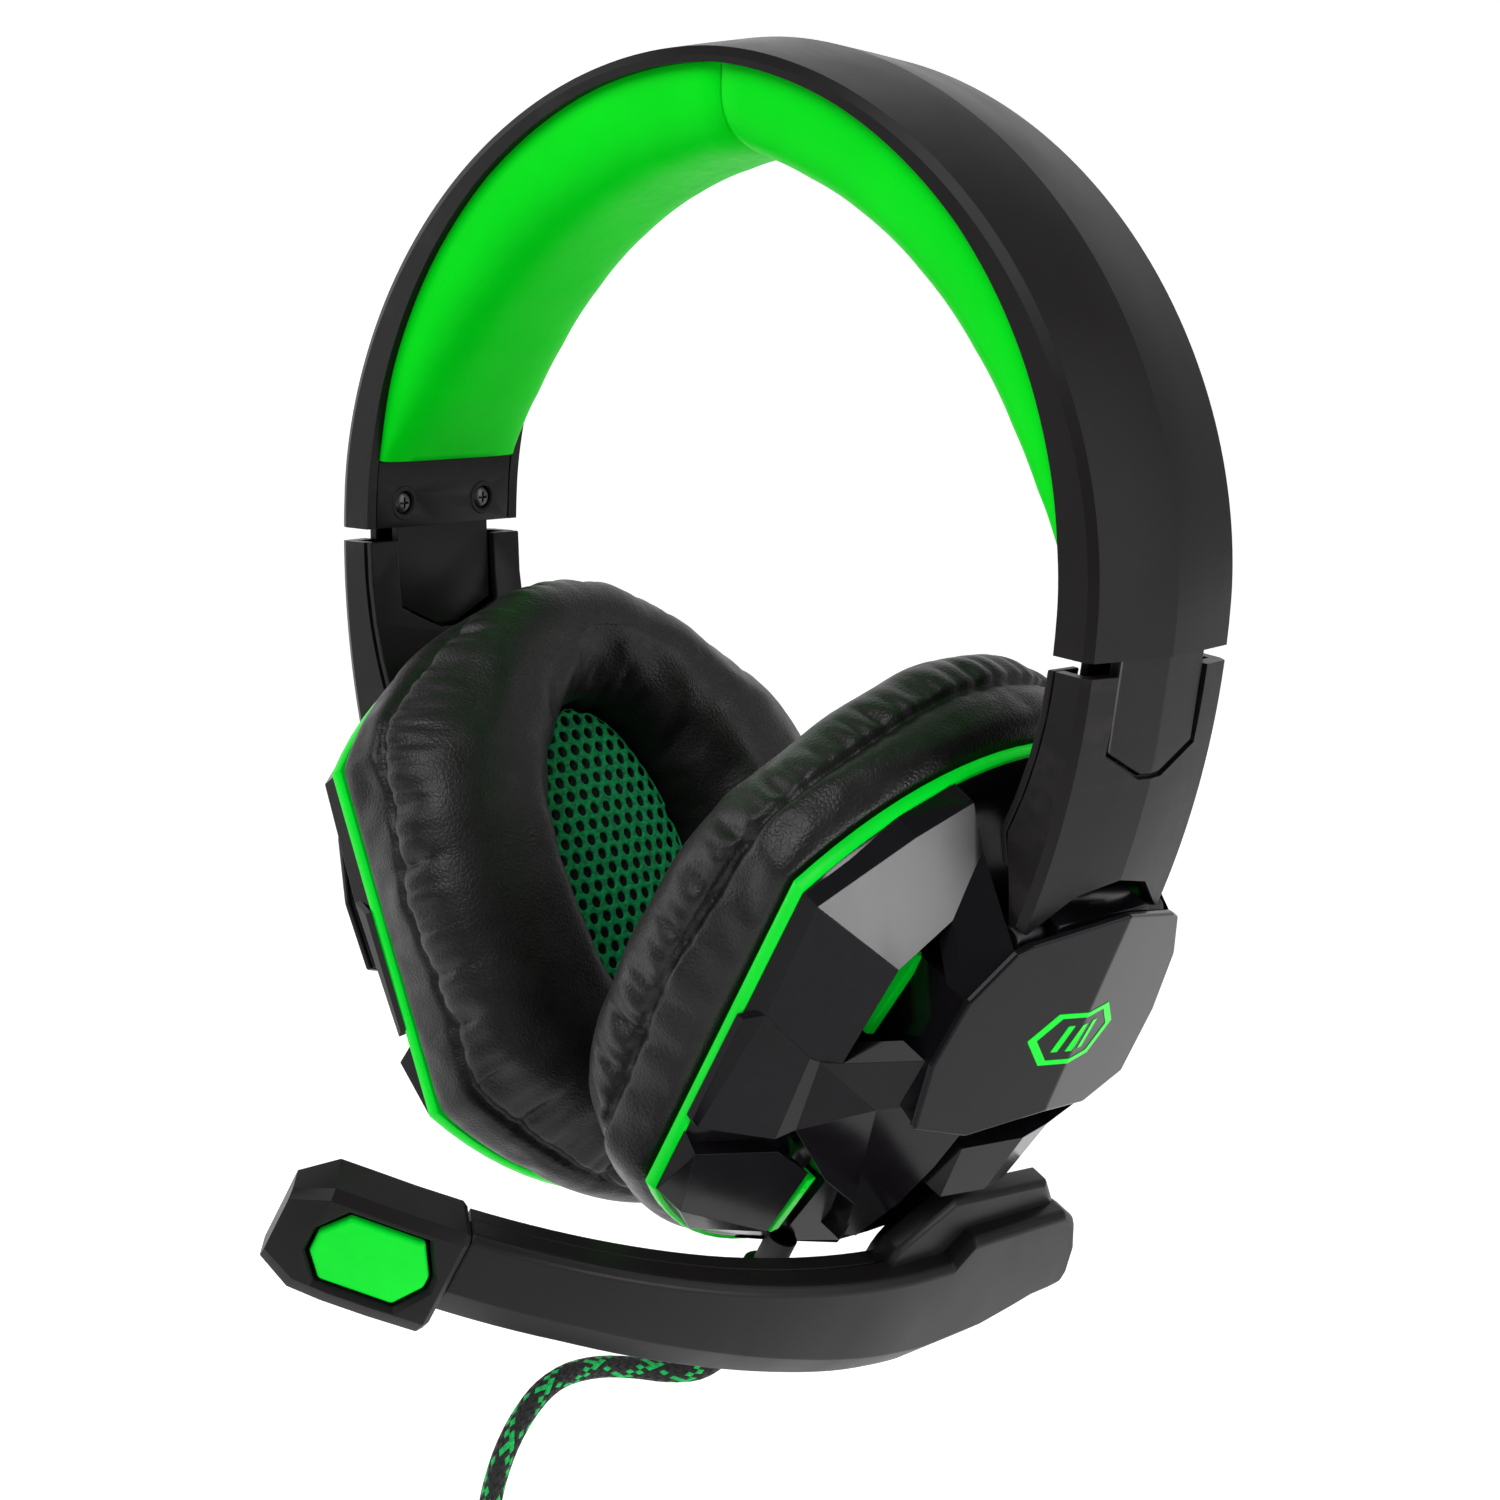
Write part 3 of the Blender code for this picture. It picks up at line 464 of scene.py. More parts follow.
def leather(name, base):
    """Black protein leather: pebbled grain, fine creases and a soft sheen."""
    nodes = Nodes(name, base, 0.4)
    # lighter edges: partly scuffing, partly a painted edge highlight
    scuffs_and_painted_edge_highlight(nodes, base, tint(base, 3.0), 0.2)
    nodes.rough(nodes.cloud(240.0, 4.0, 0.34, 0.5))
    nodes.bump(nodes.spread(nodes.cells(1100.0, "DISTANCE_TO_EDGE"), 0.0, 0.25), 0.035)
    nodes.bump(nodes.noise(1.0, 3.0, 0.6, nodes.scaled(260.0, 420.0, 260.0), 1.2), 0.05)
    nodes.set(Sheen_Weight=0.02, Sheen_Roughness=0.45, Specular_IOR_Level=0.28)
    return nodes.material


def foam(name, base):
    """Open foam; its pores are painted darker, a painted shade in the holes."""
    nodes = Nodes(name, base, 0.95)
    pores = nodes.spread(nodes.cells(1400.0), 0.1, 0.6)
    # painted shade: the pores are darker than the foam round them
    nodes.colour(nodes.mix(pores, tint(base, 0.3), tint(base, 1.6)))
    nodes.bump(pores, 0.15)
    return nodes.material


def rubber(name, base):
    """Soft matt rubber."""
    nodes = Nodes(name, base, 0.65)
    # lighter edges: partly scuffing, partly a painted edge highlight
    scuffs_and_painted_edge_highlight(nodes, base, tint(base, 2.5), 0.3)
    nodes.rough(nodes.cloud(200.0, 3.0, 0.55, 0.75))
    nodes.bump(nodes.noise(2600.0, 2.0), 0.015)
    return nodes.material


def brushed(name, base, low, high):
    """Metal with fine drawn lines."""
    nodes = Nodes(name, base, low, 1.0)
    lines = nodes.noise(1.0, 3.0, 0.6, nodes.scaled(120.0, 5200.0, 120.0))
    nodes.rough(nodes.spread(lines, 0.3, 0.7, low, high))
    nodes.colour(nodes.mix(nodes.noise(150.0, 3.0), base, tint(base, 0.82)))
    nodes.bump(lines, 0.004)
    return nodes.material


def netting(name, base):
    """Threads of the open mesh cloth, seen as a fine rib across the strands, with painted shade where the rib
    is low.
    """
    nodes = Nodes(name, base, 0.75)
    threads = nodes.noise(1.0, 2.0, 0.5, nodes.scaled(2600.0, 900.0, 900.0))
    painted_rib_shade = nodes.spread(threads, 0.3, 0.7)
    # painted shade: the colour darkens with the rib's relief, low parts darker
    nodes.colour(nodes.mix(painted_rib_shade, tint(base, 0.55), tint(base, 1.4)))
    nodes.bump(threads, 0.08)
    nodes.set(Sheen_Weight=0.04, Sheen_Roughness=0.4, Specular_IOR_Level=0.2)
    return nodes.material


def braid(name):
    """Braided sleeve: two sets of helical strands over and under each other, with green flecks."""
    nodes = Nodes(name, (0.01, 0.01, 0.01), 0.7)
    parts = nodes.add("ShaderNodeSeparateXYZ")
    nodes.link(nodes.add("ShaderNodeTexCoord").outputs["UV"], parts.inputs["Vector"])
    around = nodes.maths("MULTIPLY", parts.outputs["X"], 12.0)
    along = nodes.maths("MULTIPLY", parts.outputs["Y"], 12.0)
    left, right = nodes.maths("ADD", around, along), nodes.maths("SUBTRACT", around, along)
    crossings = nodes.maths("ADD", nodes.maths("FLOOR", left), nodes.maths("FLOOR", right))
    parity = nodes.maths("FLOORED_MODULO", crossings, 2.0)
    over = nodes.maths("GREATER_THAN", parity, 0.5)
    under = nodes.maths("SUBTRACT", 1.0, over)
    green_left = nodes.maths("LESS_THAN", nodes.maths("FLOORED_MODULO", left, 6.0), 2.0)
    green_right = nodes.maths("LESS_THAN", nodes.maths("FLOORED_MODULO", right, 6.0), 1.0)
    fleck_over = nodes.maths("MULTIPLY", green_left, over)
    fleck = nodes.maths("ADD", fleck_over, nodes.maths("MULTIPLY", green_right, under))
    fibres = nodes.cloud(4200.0, 2.0)
    black = nodes.mix(fibres, (0.006, 0.006, 0.006), (0.022, 0.022, 0.022))
    green = nodes.mix(fibres, (0.0, 0.28, 0.06), (0.01, 0.62, 0.12))
    nodes.colour(nodes.mix(nodes.maths("MINIMUM", fleck, 1.0), black, green))
    bulge_left = nodes.maths("ABSOLUTE", nodes.maths("SINE", nodes.maths("MULTIPLY", left, math.pi)))
    bulge_right = nodes.maths("ABSOLUTE", nodes.maths("SINE", nodes.maths("MULTIPLY", right, math.pi)))
    relief_over = nodes.maths("MULTIPLY", bulge_left, over)
    relief = nodes.maths("ADD", relief_over, nodes.maths("MULTIPLY", bulge_right, under))
    nodes.bump(relief, 0.25)
    nodes.bump(nodes.noise(5200.0, 1.0), 0.03)
    nodes.set(Sheen_Weight=0.05, Sheen_Roughness=0.5, Specular_IOR_Level=0.25)
    return nodes.material


def board(name, base):
    """Green lacquer with lighter tracks under it."""
    nodes = Nodes(name, base, 0.45)
    tracks = nodes.maths("GREATER_THAN", nodes.cells(260.0, "DISTANCE_TO_EDGE"), 0.12)
    nodes.colour(nodes.mix(tracks, (0.02, 0.3, 0.12), base))
    nodes.bump(tracks, 0.03)
    return nodes.material


LOOKS = {
    "shell_black": plastic("satin_black", (0.0066, 0.0056, 0.0063), 0.30, 0.40, 1800.0, 0.010, 0.13),
    "gloss_black": plastic("gloss_black", (0.0038, 0.0032, 0.0042), 0.13, 0.22, 900.0, 0.002, 0.115, 0.25),
    "boom_black": plastic("matt_black", (0.0064, 0.0056, 0.0062), 0.34, 0.44, 2200.0, 0.012, 0.12),
    "green_vinyl": vinyl("green_vinyl", (0.0, 0.66, 0.010)),
    # green plastic with a painted glow, used for the ring, slot bars, print and microphone window
    "green_light": painted_glow_plastic("green_light", (0.0, 0.60, 0.022), 0.18),
    "green_mesh": netting("green_netting", (0.0, 0.21, 0.065)),
    "dark_foam": foam("dark_foam", (0.005, 0.006, 0.005)),
    "leatherette": leather("black_leatherette", (0.0042, 0.0034, 0.0038)),
    "rubber_black": rubber("black_rubber", (0.012, 0.012, 0.012)),
    "lead_braid": braid("lead_braid"),
    "spring_steel": brushed("spring_steel", (0.075, 0.075, 0.08), 0.3, 0.45),
    "screw_steel": brushed("screw_steel", (0.09, 0.09, 0.095), 0.3, 0.45),
    "plug_metal": brushed("plug_metal", (0.78, 0.62, 0.30), 0.16, 0.28),
    "driver_metal": brushed("driver_metal", (0.35, 0.35, 0.36), 0.3, 0.5),
    "board_green": board("board_green", (0.01, 0.10, 0.04)),
}


# ---------------------------------------------------------------- camera

def direction_from(azimuth_deg, elevation_deg):
    """Unit vector towards a place: azimuth from the front towards the wearer's left, and elevation."""
    a, e = math.radians(azimuth_deg), math.radians(elevation_deg)
    return Vector((math.sin(a) * math.cos(e), -math.cos(a) * math.cos(e), math.sin(e)))


CAMERA_AZIMUTH, CAMERA_ELEVATION, CAMERA_ROLL = 40.3, 10.68, 3.33
CAMERA_DISTANCE, AIM_LEFT, AIM_DOWN = 669.19, 1.86, 37.18      # from the strap's middle at its widest level
azimuth, roll = math.radians(CAMERA_AZIMUTH), math.radians(CAMERA_ROLL)
back = direction_from(CAMERA_AZIMUTH, CAMERA_ELEVATION)
level = Vector((math.cos(azimuth), math.sin(azimuth), 0.0))
upright = back.cross(level)
right = level * math.cos(roll) + upright * math.sin(roll)
up = -level * math.sin(roll) + upright * math.cos(roll)
lens = bpy.data.cameras.new("camera")
lens.sensor_width = 36.0
lens.lens = 90.12
lens.clip_start = 0.05
lens.clip_end = 20.0
camera = put("camera", lens)
spot = back * CAMERA_DISTANCE - right * AIM_LEFT - up * AIM_DOWN + Vector((0.0, 0.0, CROWN_Z))
columns = Matrix((right, up, back)).transposed()
camera.matrix_world = Matrix.Translation(spot * MM) @ columns.to_4x4()
bpy.context.scene.camera = camera


# ---------------------------------------------------------------- lead

COIL = np.array([-4.0, -30.5, -212.52])       # its middle, in the strap's frame
TURN_RADIUS = 24.0
GRID = 4.08                                    # spacing of the turns
SLOTS = [(1.5, x) for x in (-1, 0, 1)] + [(0.5, x) for x in (1, 0, -1)]
SLOTS += [(-0.5, x) for x in (-1, 0, 1)] + [(-1.5, x) for x in (1, 0, -1)]
# Degrees: first turn's start, a slot's share, a change of slot, the last turn's share, a step between points
FIRST, PERIOD, SHIFT, LAST_TURN, COIL_STEP = 176.0, 336.0, 18.0, 332.0, 9.0


def coil_point(angle):
    """Middle of the lead at an angle of the winding."""
    turn = min(int((angle - FIRST) // PERIOD), len(SLOTS) - 1)
    part = angle - FIRST - turn * PERIOD
    row, column = SLOTS[turn]
    if turn < len(SLOTS) - 1 and part > PERIOD - SHIFT:
        share = smooth_step((part - PERIOD + SHIFT) / SHIFT)
        after = SLOTS[turn + 1]
        row += (after[0] - row) * share
        column += (after[1] - column) * share
    radius = TURN_RADIUS + row * GRID
    a = math.radians(angle)
    return COIL + np.array([column * GRID, radius * math.cos(a), radius * math.sin(a)])


def lead_path():
    """The lead's middle line from the strain relief to the plug, in the strap's frame."""
    start = [(13.64, -12.0, -141.9), (13.1, -12.0, -143.8), (11.8, -12.4, -146.6), (8.4, -14.0, -149.5),
             (3.6, -16.8, -150.6), (-0.8, -21.0, -150.1), (-3.8, -27.0, -149.4), (-4.8, -34.0, -149.3),
             (-4.8, -40.0, -150.6), (-4.4, -45.2, -153.6), (-4.1, -49.8, -158.6), (-4.0, -52.8, -165.0)]
    entry = [(0.0, -23.7, 40.5), (0.0, -24.3, 32.5), (-0.5, -26.4, 26.2), (-1.8, -29.0, 20.8),
             (-3.2, -30.9, 15.6), (-4.0, -31.4, 10.8), (-4.08, -30.9, 6.5)]
    finish = FIRST + (len(SLOTS) - 1) * PERIOD + LAST_TURN
    turns = [coil_point(a) for a in np.arange(FIRST, finish, COIL_STEP)]
    leave = [(-4.6, -2.6, -17.7), (-6.6, 1.2, -17.9), (-8.2, 5.6, -17.0), (-8.5, 10.5, -15.4),
             (-8.5, 15.5, -15.0), (-8.5, 20.0, -16.8), (-8.4, 23.0, -21.0), (-7.4, 24.0, -26.5),
             (-4.6, 24.0, -32.0), (-1.6, 24.0, -37.5), (-0.2, 24.0, -42.0), (0.0, 24.0, -47.0)]
    points = [np.array(p) for p in start] + [COIL + p for p in np.array(entry)]
    first = curve_through(points + [turns[0], turns[1]], 3)[:-3]
    after = curve_through([turns[-2], turns[-1]] + [COIL + p for p in np.array(leave)], 3)[3:]
    return first + turns + after


def tube(name, path, radius, sides):
    """A round tube along a path of points in metres, its UVs in turns and in lengths of six diameters."""
    path = [Vector(p) for p in path]
    across = Vector((0.0, 1.0, 0.0)).cross(path[1] - path[0]).normalized()
    rings, lengths, run = [], [], 0.0
    for i, p in enumerate(path):
        along = (path[min(i + 1, len(path) - 1)] - path[max(i - 1, 0)]).normalized()
        across = (across - along * across.dot(along)).normalized()
        other = along.cross(across)
        if i:
            run += (p - path[i - 1]).length
        lengths.append(run)
        rings.append([p + (across * a + other * b) * radius for a, b in circle(1.0, sides)])
    points, faces = loft(rings)
    mesh = bpy.data.meshes.new(name)
    mesh.from_pydata([tuple(p) for p in points], [], faces)
    layer = mesh.uv_layers.new(name="UVMap")
    for face in mesh.polygons:
        corners = list(face.vertices)
        wraps = any(v % sides == sides - 1 for v in corners) and any(v % sides == 0 for v in corners)
        for loop in face.loop_indices:
            v = mesh.loops[loop].vertex_index
            turn = v % sides
            if wraps and turn == 0 and len(corners) == 4:
                turn = sides
            layer.data[loop].uv = (turn / sides, lengths[v // sides] / (12.0 * radius))
    mesh.shade_smooth()
    mesh.set_sharp_from_angle(angle=math.radians(50.0))
    return put(name, mesh), run


lead_line = [arch(*p) for p in lead_path()]
lead, lead_length = tube("braided_lead", lead_line, 2.0 * MM, 12)
give(lead, "cup_left", "lead_braid", ("lead", "lead_coil", "lead_tail"))
print("lead length", round(lead_length, 3), "points", len(lead_line))


# ---------------------------------------------------------------- strap

CHANNEL_LINE = (-20.0, -20.0, -19.0, -10.0, 0.0, 10.0, 19.0, 20.0, 20.0)     # y of the points across it
INNER_HALF = 17.8              # half the width between its walls


def channel_rows(stations, side, wall_depth, edge_at=None):
    """Outer and inner grids of a channel along the strap or an arm; edge_at moves a row's point by its y."""
    outer, inner = [], []
    for i, station in enumerate(stations):
        over, under = [], []
        for j, y in enumerate(CHANNEL_LINE):
            place = edge_at(i, y) if edge_at else station
            depth = wall_depth(place)
            if j in (0, len(CHANNEL_LINE) - 1):
                r, low = -depth, -depth
            elif abs(y) == HALF_WIDTH:
                r, low = -1.6, -min(SKIN, depth - 0.2)
            elif abs(y) > HALF_WIDTH / 2:
                r, low = roof(y) - 0.12, roof(y) - 2.5
            else:
                r, low = roof(y), roof(y) - SKIN
            in_y = math.copysign(min(abs(y), INNER_HALF), y) if y else 0.0
            over.append(strap(place, y, r, side))
            under.append(strap(place, in_y, low, side))
        outer.append(over)
        inner.append(under)
    return outer, inner


end = below(STRAP_END)
stations = [end + (180.0 - 2 * end) * i / 132 for i in range(133)]


WALL_STATIONS = (8.0, 22.0, 48.0, 70.0, 90.0)
WALL_DEPTHS = (7.5, 6.6, 4.4, 3.2, 2.7)


def wall_at(station):
    """Depth of the strap's side walls: deep at the ends, narrow at the crown."""
    return float(np.interp(min(station, 180.0 - station), WALL_STATIONS, WALL_DEPTHS))


outer, inner = channel_rows(stations, 1, wall_at)
headband = make("headband_cover", *thick(outer, inner))
headband = rounded(headband, 0.35, 11.0, 9.0)
give(headband, "headband", "shell_black", ("headband_shell",))


def tongue(side, start, lift, drop, clearance=0.0, corner=22.6, tip=27.0):
    """Five-sided tongue down from the strap; clearance widens it into a cutter."""
    rows = []
    for depth, half in ((start, TONGUE_HALF), (corner, TONGUE_HALF), (tip, 2.5)):
        half += clearance
        depth += clearance if depth > start else 0.0
        line = [(-half, roof(half) + lift), (0.0, RIDGE + lift), (half, roof(half) + lift),
                (half, roof(half) - drop), (0.0, RIDGE - drop), (-half, roof(half) - drop)]
        rows.append([strap(below(depth), y, r, side) for y, r in line])
    return loft(rows)


ARM_PARTS = [i / 26 for i in range(27)]
ARM_DEPTHS = [ARM_TOP + (ARM_BOTTOM - ARM_TOP) * t for t in ARM_PARTS]


def arm_edge(i, y):
    """Station of a point of the arm's row i; its lower edge is a shallow arch between two pointed ears."""
    foot = ARM_BOTTOM + 10.0 * (abs(y) / HALF_WIDTH) ** 2.2
    return below(ARM_DEPTHS[i] + (foot - ARM_BOTTOM) * ARM_PARTS[i] ** 2)


def arm_wall(station):
    """Depth of the arm's side walls, deepest a little above its lower edge."""
    depth = -SIDE_RADIUS * math.sin(math.radians(station))
    if depth <= 40.0:
        return 6.6 + 2.6 * ((depth - ARM_TOP) / 30.1) ** 2
    return max(2.0, 9.2 - 0.46 * (depth - 40.0))


for side, label in SIDES:
    piece = make(f"strap_tongue_{label}", *tongue(side, 3.0, -0.25, SKIN))
    give(rounded(piece, 0.4, 11.0, 9.0), "headband", "shell_black")

    outer, inner = channel_rows([below(d) for d in ARM_DEPTHS], side, arm_wall, arm_edge)
    arm = make(f"arm_cover_{label}", *thick(outer, inner))
    carve(arm, make("cutter", *tongue(side, 5.0, 3.0, 4.5, 0.7)))
    rounded(arm, 0.35, 11.0, 9.0)
    give(arm, f"slider_{label}", "shell_black", (f"arm_outer_cover_{label}",))

    # Lip round the notch, a step lower than the cover.
    lip = make(f"arm_notch_lip_{label}", *tongue(side, 9.95, -0.9, 2.6, 0.8, 24.2, 28.8))
    carve(lip, make("cutter", *tongue(side, 5.0, 3.0, 4.5, 0.25)))
    rounded(lip, 0.2, 11.0, 9.0)
    give(lip, f"slider_{label}", "shell_black")


def dress(node, body, slot, width, name=None):
    """A finer copy of a CAD node: flat areas made whole, edges rounded."""
    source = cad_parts[node]
    mesh = bpy.data.meshes.new(name or node + "_finish")
    shell = bmesh.new()
    shell.from_mesh(source.data)
    bmesh.ops.remove_doubles(shell, verts=shell.verts, dist=2e-6)
    bmesh.ops.dissolve_limit(shell, angle_limit=math.radians(1.0), verts=shell.verts, edges=shell.edges)
    shell.to_mesh(mesh)
    shell.free()
    mesh.materials.clear()
    thing = rounded(put(mesh.name, mesh), width, 25.0, 25.0)
    return give(thing, body, slot, (node,))


# Turned profiles (radius, height) about a screw's axis, outward from the head
SCREW = ((0.3, -0.22), (1.1, -0.18), (1.6, -0.02), (1.9, 0.25), (1.9, 0.7), (0.8, 0.7), (0.8, 5.2))
SCREW_RIM = ((2.5, 0.35), (2.5, -0.25), (3.1, -0.25), (3.3, 0.0), (3.3, 0.35))
SCREW_LEVEL, SCREW_FACE = 2.5, -7.4


def screws(side, label):
    """Two screws with a crossed recess in the recesses of the inner plate, each in a raised rim."""
    x, z, out_x, out_z = rim(below(SCREW_LEVEL))
    into, across = Vector((side * out_x, 0.0, out_z)), Vector((0.0, 1.0, 0.0))
    rise = into.cross(across)
    for spot_name, y in (("front", -10.5), ("rear", 10.5)):
        centre = arch(side * (x + out_x * SCREW_FACE), y, z + out_z * SCREW_FACE)

        def at(a, b, height, middle=centre):
            return middle + (across * a + rise * b + into * height) * MM

        screw = make(f"screw_{spot_name}_{label}", *loft(turned(SCREW, 24, at)), sharp=35.0)
        for long, wide in ((1.25, 0.28), (0.28, 1.25)):
            bar = ((-long, -wide), (long, -wide), (long, wide), (-long, wide))
            recess = [[at(a * k, b * k, height) for a, b in bar] for k, height in ((1.05, -1.0), (0.7, 0.55))]
            carve(screw, make("cutter", *loft(recess)))
        settle(screw, 35.0)
        give(screw, "headband", "screw_steel", (f"plate_screw_{spot_name}_{label}",))
        ring = loft(turned(SCREW_RIM, 28, at), closed=True)
        boss = make(f"screw_rim_{spot_name}_{label}", *ring, sharp=35.0)
        give(boss, "headband", "shell_black")


for side, label in SIDES:
    dress(f"arm_inner_cover_{label}", f"slider_{label}", "shell_black", 0.3)
    dress(f"strap_inner_plate_{label}", "headband", "shell_black", 0.25)
    dress(f"hinge_pin_{label}", f"slider_{label}", "spring_steel", 0.3)
    dress(f"size_strip_{label}", f"slider_{label}", "spring_steel", 0.15)
    screws(side, label)


# ---------------------------------------------------------------- head pad

PAD_STATIONS = (4.6, 9.0, 15.0, 24.0, 36.0, 50.0, 64.0, 76.0, 84.0, 89.6)
PAD_BULGE = (1.8, 4.6, 7.6, 10.2, 12.0, 12.8, 12.8, 12.3, 11.3, 10.2)
PAD_START, FOLD_START = 4.4, 86.0      # stations where a lobe starts and where its rounded inner end does


def pad_depth(station):
    """Reach of a lobe below the strap's edge, and how full it is where it folds in at the crown."""
    bulge = np.interp(station, PAD_STATIONS, PAD_BULGE)
    left = min(1.0, (90.0 - station) / 4.0)
    fold = math.sqrt(max(0.0, 1.0 - (1.0 - left) ** 2))
    return 7.5 + float(bulge) * (0.80 + 0.20 * fold), fold


for side, label in SIDES:
    rows = []
    stations = [PAD_START + 81.6 * (i / 90) for i in range(90)]
    stations += [FOLD_START + 3.9 * math.sin(math.pi / 2 * i / 12) for i in range(13)]
    for station in stations:
        depth, fold = pad_depth(station)
        edge = wall_at(station)
        half = min(18.3, 17.5 + 0.06 * (station - PAD_START)) - 1.0 * (1.0 - fold)
        line = []
        for k in range(31):
            t = math.pi * k / 30
            line.append((-half * math.copysign(abs(math.cos(t)) ** 0.55, math.cos(t)),
                         -edge - 0.1 - (depth - edge) * math.sin(t) ** 0.62))
        line += [(17.4, -edge + 0.9), (0.0, -edge + 1.2), (-17.4, -edge + 0.9)]
        rows.append([strap(station, y, r, side) for y, r in line])
    pad = make(f"pad_lobe_{label}", *loft(rows), sharp=70.0)
    give(pad, "headband", "green_vinyl", (f"head_pad_{label}",))


# ---------------------------------------------------------------- cup housing

def slabs(name, parts, side):
    """Panels: each part is corners (y, s, h), faces, the depth below them and 1, or -1 to mirror it."""
    points, faces = [], []
    for corners, tops, depth, mirror in parts:
        base, count = len(points), len(corners)
        points += [cup(side, h, y * mirror, s) for y, s, h in corners]
        points += [cup(side, h - depth, y * mirror, s) for y, s, h in corners]
        used = {}
        for face in tops:
            faces.append(tuple(base + i for i in face))
            faces.append(tuple(base + i + count for i in reversed(face)))
            for a, b in zip(face, face[1:] + face[:1]):
                used[(a, b)] = 1
        for a, b in used:
            if (b, a) not in used:
                faces.append((base + b, base + a, base + a + count, base + b + count))
    mesh = bpy.data.meshes.new(name)
    mesh.from_pydata([tuple(p) for p in points], [], faces)
    shell = bmesh.new()
    shell.from_mesh(mesh)
    bmesh.ops.recalc_face_normals(shell, faces=shell.faces)
    warped = []
    for face in shell.faces:
        middle = face.calc_center_median()
        if len(face.verts) > 3 and max(abs((v.co - middle).dot(face.normal)) for v in face.verts) > 0.2 * MM:
            warped.append(face)
    bmesh.ops.triangulate(shell, faces=warped)
    shell.to_mesh(mesh)
    shell.free()
    return put(name, mesh)


# Corners of the front armour (y, s, h), shared by the facets that meet there
P1, P2, P3, P4 = (-49.2, 30.3, 5.0), (-34.0, 21.7, 14.1), (-25.4, 30.9, 15.3), (-21.6, 43.0, 12.3)
P5, P6 = (-32.6, 42.2, 5.2), (-21.6, 47.4, 4.6)
CHEEK, KEEL_SIDE = (-28.6, 22.8, 25.8), (-21.9, 32.0, 26.2)
SLOT_LOW, UNDER_KEEL = (-35.2, 2.8, 14.0), (-29.2, 10.6, 24.2)
T1, STEP, OUT = (-41.0, 1.9, 11.8), (-49.2, 8.0, 4.9), (-50.0, 5.0, 2.2)
C2, C3 = (-50.6, -17.0, 2.2), (-49.9, -17.8, 3.9)
BEV, MIDDLE = (-38.6, 0.5, 12.4), (-27.0, -5.0, 19.2)
LOW_IN, LOW_OUT = (-35.3, -14.3, 12.2), (-38.3, -15.8, 10.4)
D1, D2, D3, D4 = (-49.2, -22.0, 4.8), (-34.0, -21.0, 10.2), (-21.0, -44.0, 7.9), (-42.6, -38.2, 3.8)
NOTCH, FLANK, FOOT = (-21.5, -27.2, 14.0), (-12.1, -32.5, 16.0), (-8.3, -43.0, 15.4)
LEG1, LEG2, LEG3 = (-13.5, -15.0, 27.4), (-9.4, -28.6, 22.6), (-6.5, -42.0, 16.6)
CORNER, KEEL_FOOT = (-28.2, -2.4, 25.8), (-16.8, -4.6, 30.2)

# Panels of the front armour: corners, faces and depth
FRONT = [
    # bright facet, the one above it and the strip beside the arm
    ([P1, P2, P3, P5, P4, P6, CHEEK, KEEL_SIDE], [(0, 1, 2, 3), (3, 2, 4, 5), (2, 6, 7, 4)], 5.0),
    # side wall from the ring up to the facets
    ([(-49.5, 30.4, 1.5), (-49.5, 5.0, 1.5), STEP, P1, (-33.4, 43.3, 1.5), P5, (-21.6, 48.5, 1.5), P6],
     [(0, 1, 2, 3), (0, 3, 5, 4), (4, 5, 7, 6)], 0.8),
    # upper armour
    ([P1, STEP, T1, SLOT_LOW, P2], [(0, 1, 2, 3, 4)], 4.5),
    # armour that bulges over the ring
    ([OUT, C2, C3, LOW_OUT, T1, STEP], [(0, 1, 2, 5), (5, 2, 3, 4)], 1.6),
    # raised arrow plate: its top facet, the bevel along its edge, and the leg down beside the recess
    ([T1, BEV, SLOT_LOW, UNDER_KEEL, CORNER, MIDDLE, LOW_IN, LOW_OUT, NOTCH, FLANK, FOOT, LEG3, LEG2, LEG1,
      KEEL_FOOT],
     [(0, 2, 1), (1, 2, 3, 4, 5), (0, 1, 6, 7), (1, 5, 6), (6, 5, 9, 8), (5, 4, 14),
      (5, 14, 13, 12, 11, 10, 9)], 5.5),
    # lower front
    ([D1, D2, (-24.0, -27.0, 12.2), D3, D4], [(0, 1, 2, 3, 4)], 4.0),
    ([(-49.5, -20.0, 1.5), (-49.5, -32.8, 1.5), (-34.0, -45.8, 1.5), D3, D4, D1, (-18.0, -51.6, 1.5),
      (-14.3, -48.6, 6.5)],
     [(0, 5, 4, 1), (1, 4, 3, 2), (2, 3, 7, 6)], 0.8),
    # facet right of the lower slot
    ([(-17.0, -30.0, 12.0), (-9.0, -34.0, 13.0), (0.0, -50.0, 10.5), (-12.0, -50.6, 6.0)],
     [(0, 1, 2, 3)], 5.0),
    ([(-12.0, -50.6, 6.0), (0.0, -50.5, 10.5), (0.0, -55.0, 1.5), (-18.0, -52.2, 1.5)], [(0, 1, 2, 3)], 0.8),
    # cap in the recess below the keel, and the recess's floor
    ([(0.0, -7.2, 32.6), (-12.2, -9.4, 29.6), (-9.0, -21.8, 28.6), (0.0, -20.4, 31.0)], [(0, 1, 2, 3)], 9.0),
    ([(0.0, -3.0, 24.0), (-17.5, -5.0, 22.5), (-12.0, -30.0, 18.5), (-8.0, -44.0, 14.5), (0.0, -44.0, 14.5)],
     [(0, 1, 2, 3, 4)], 7.0),
]


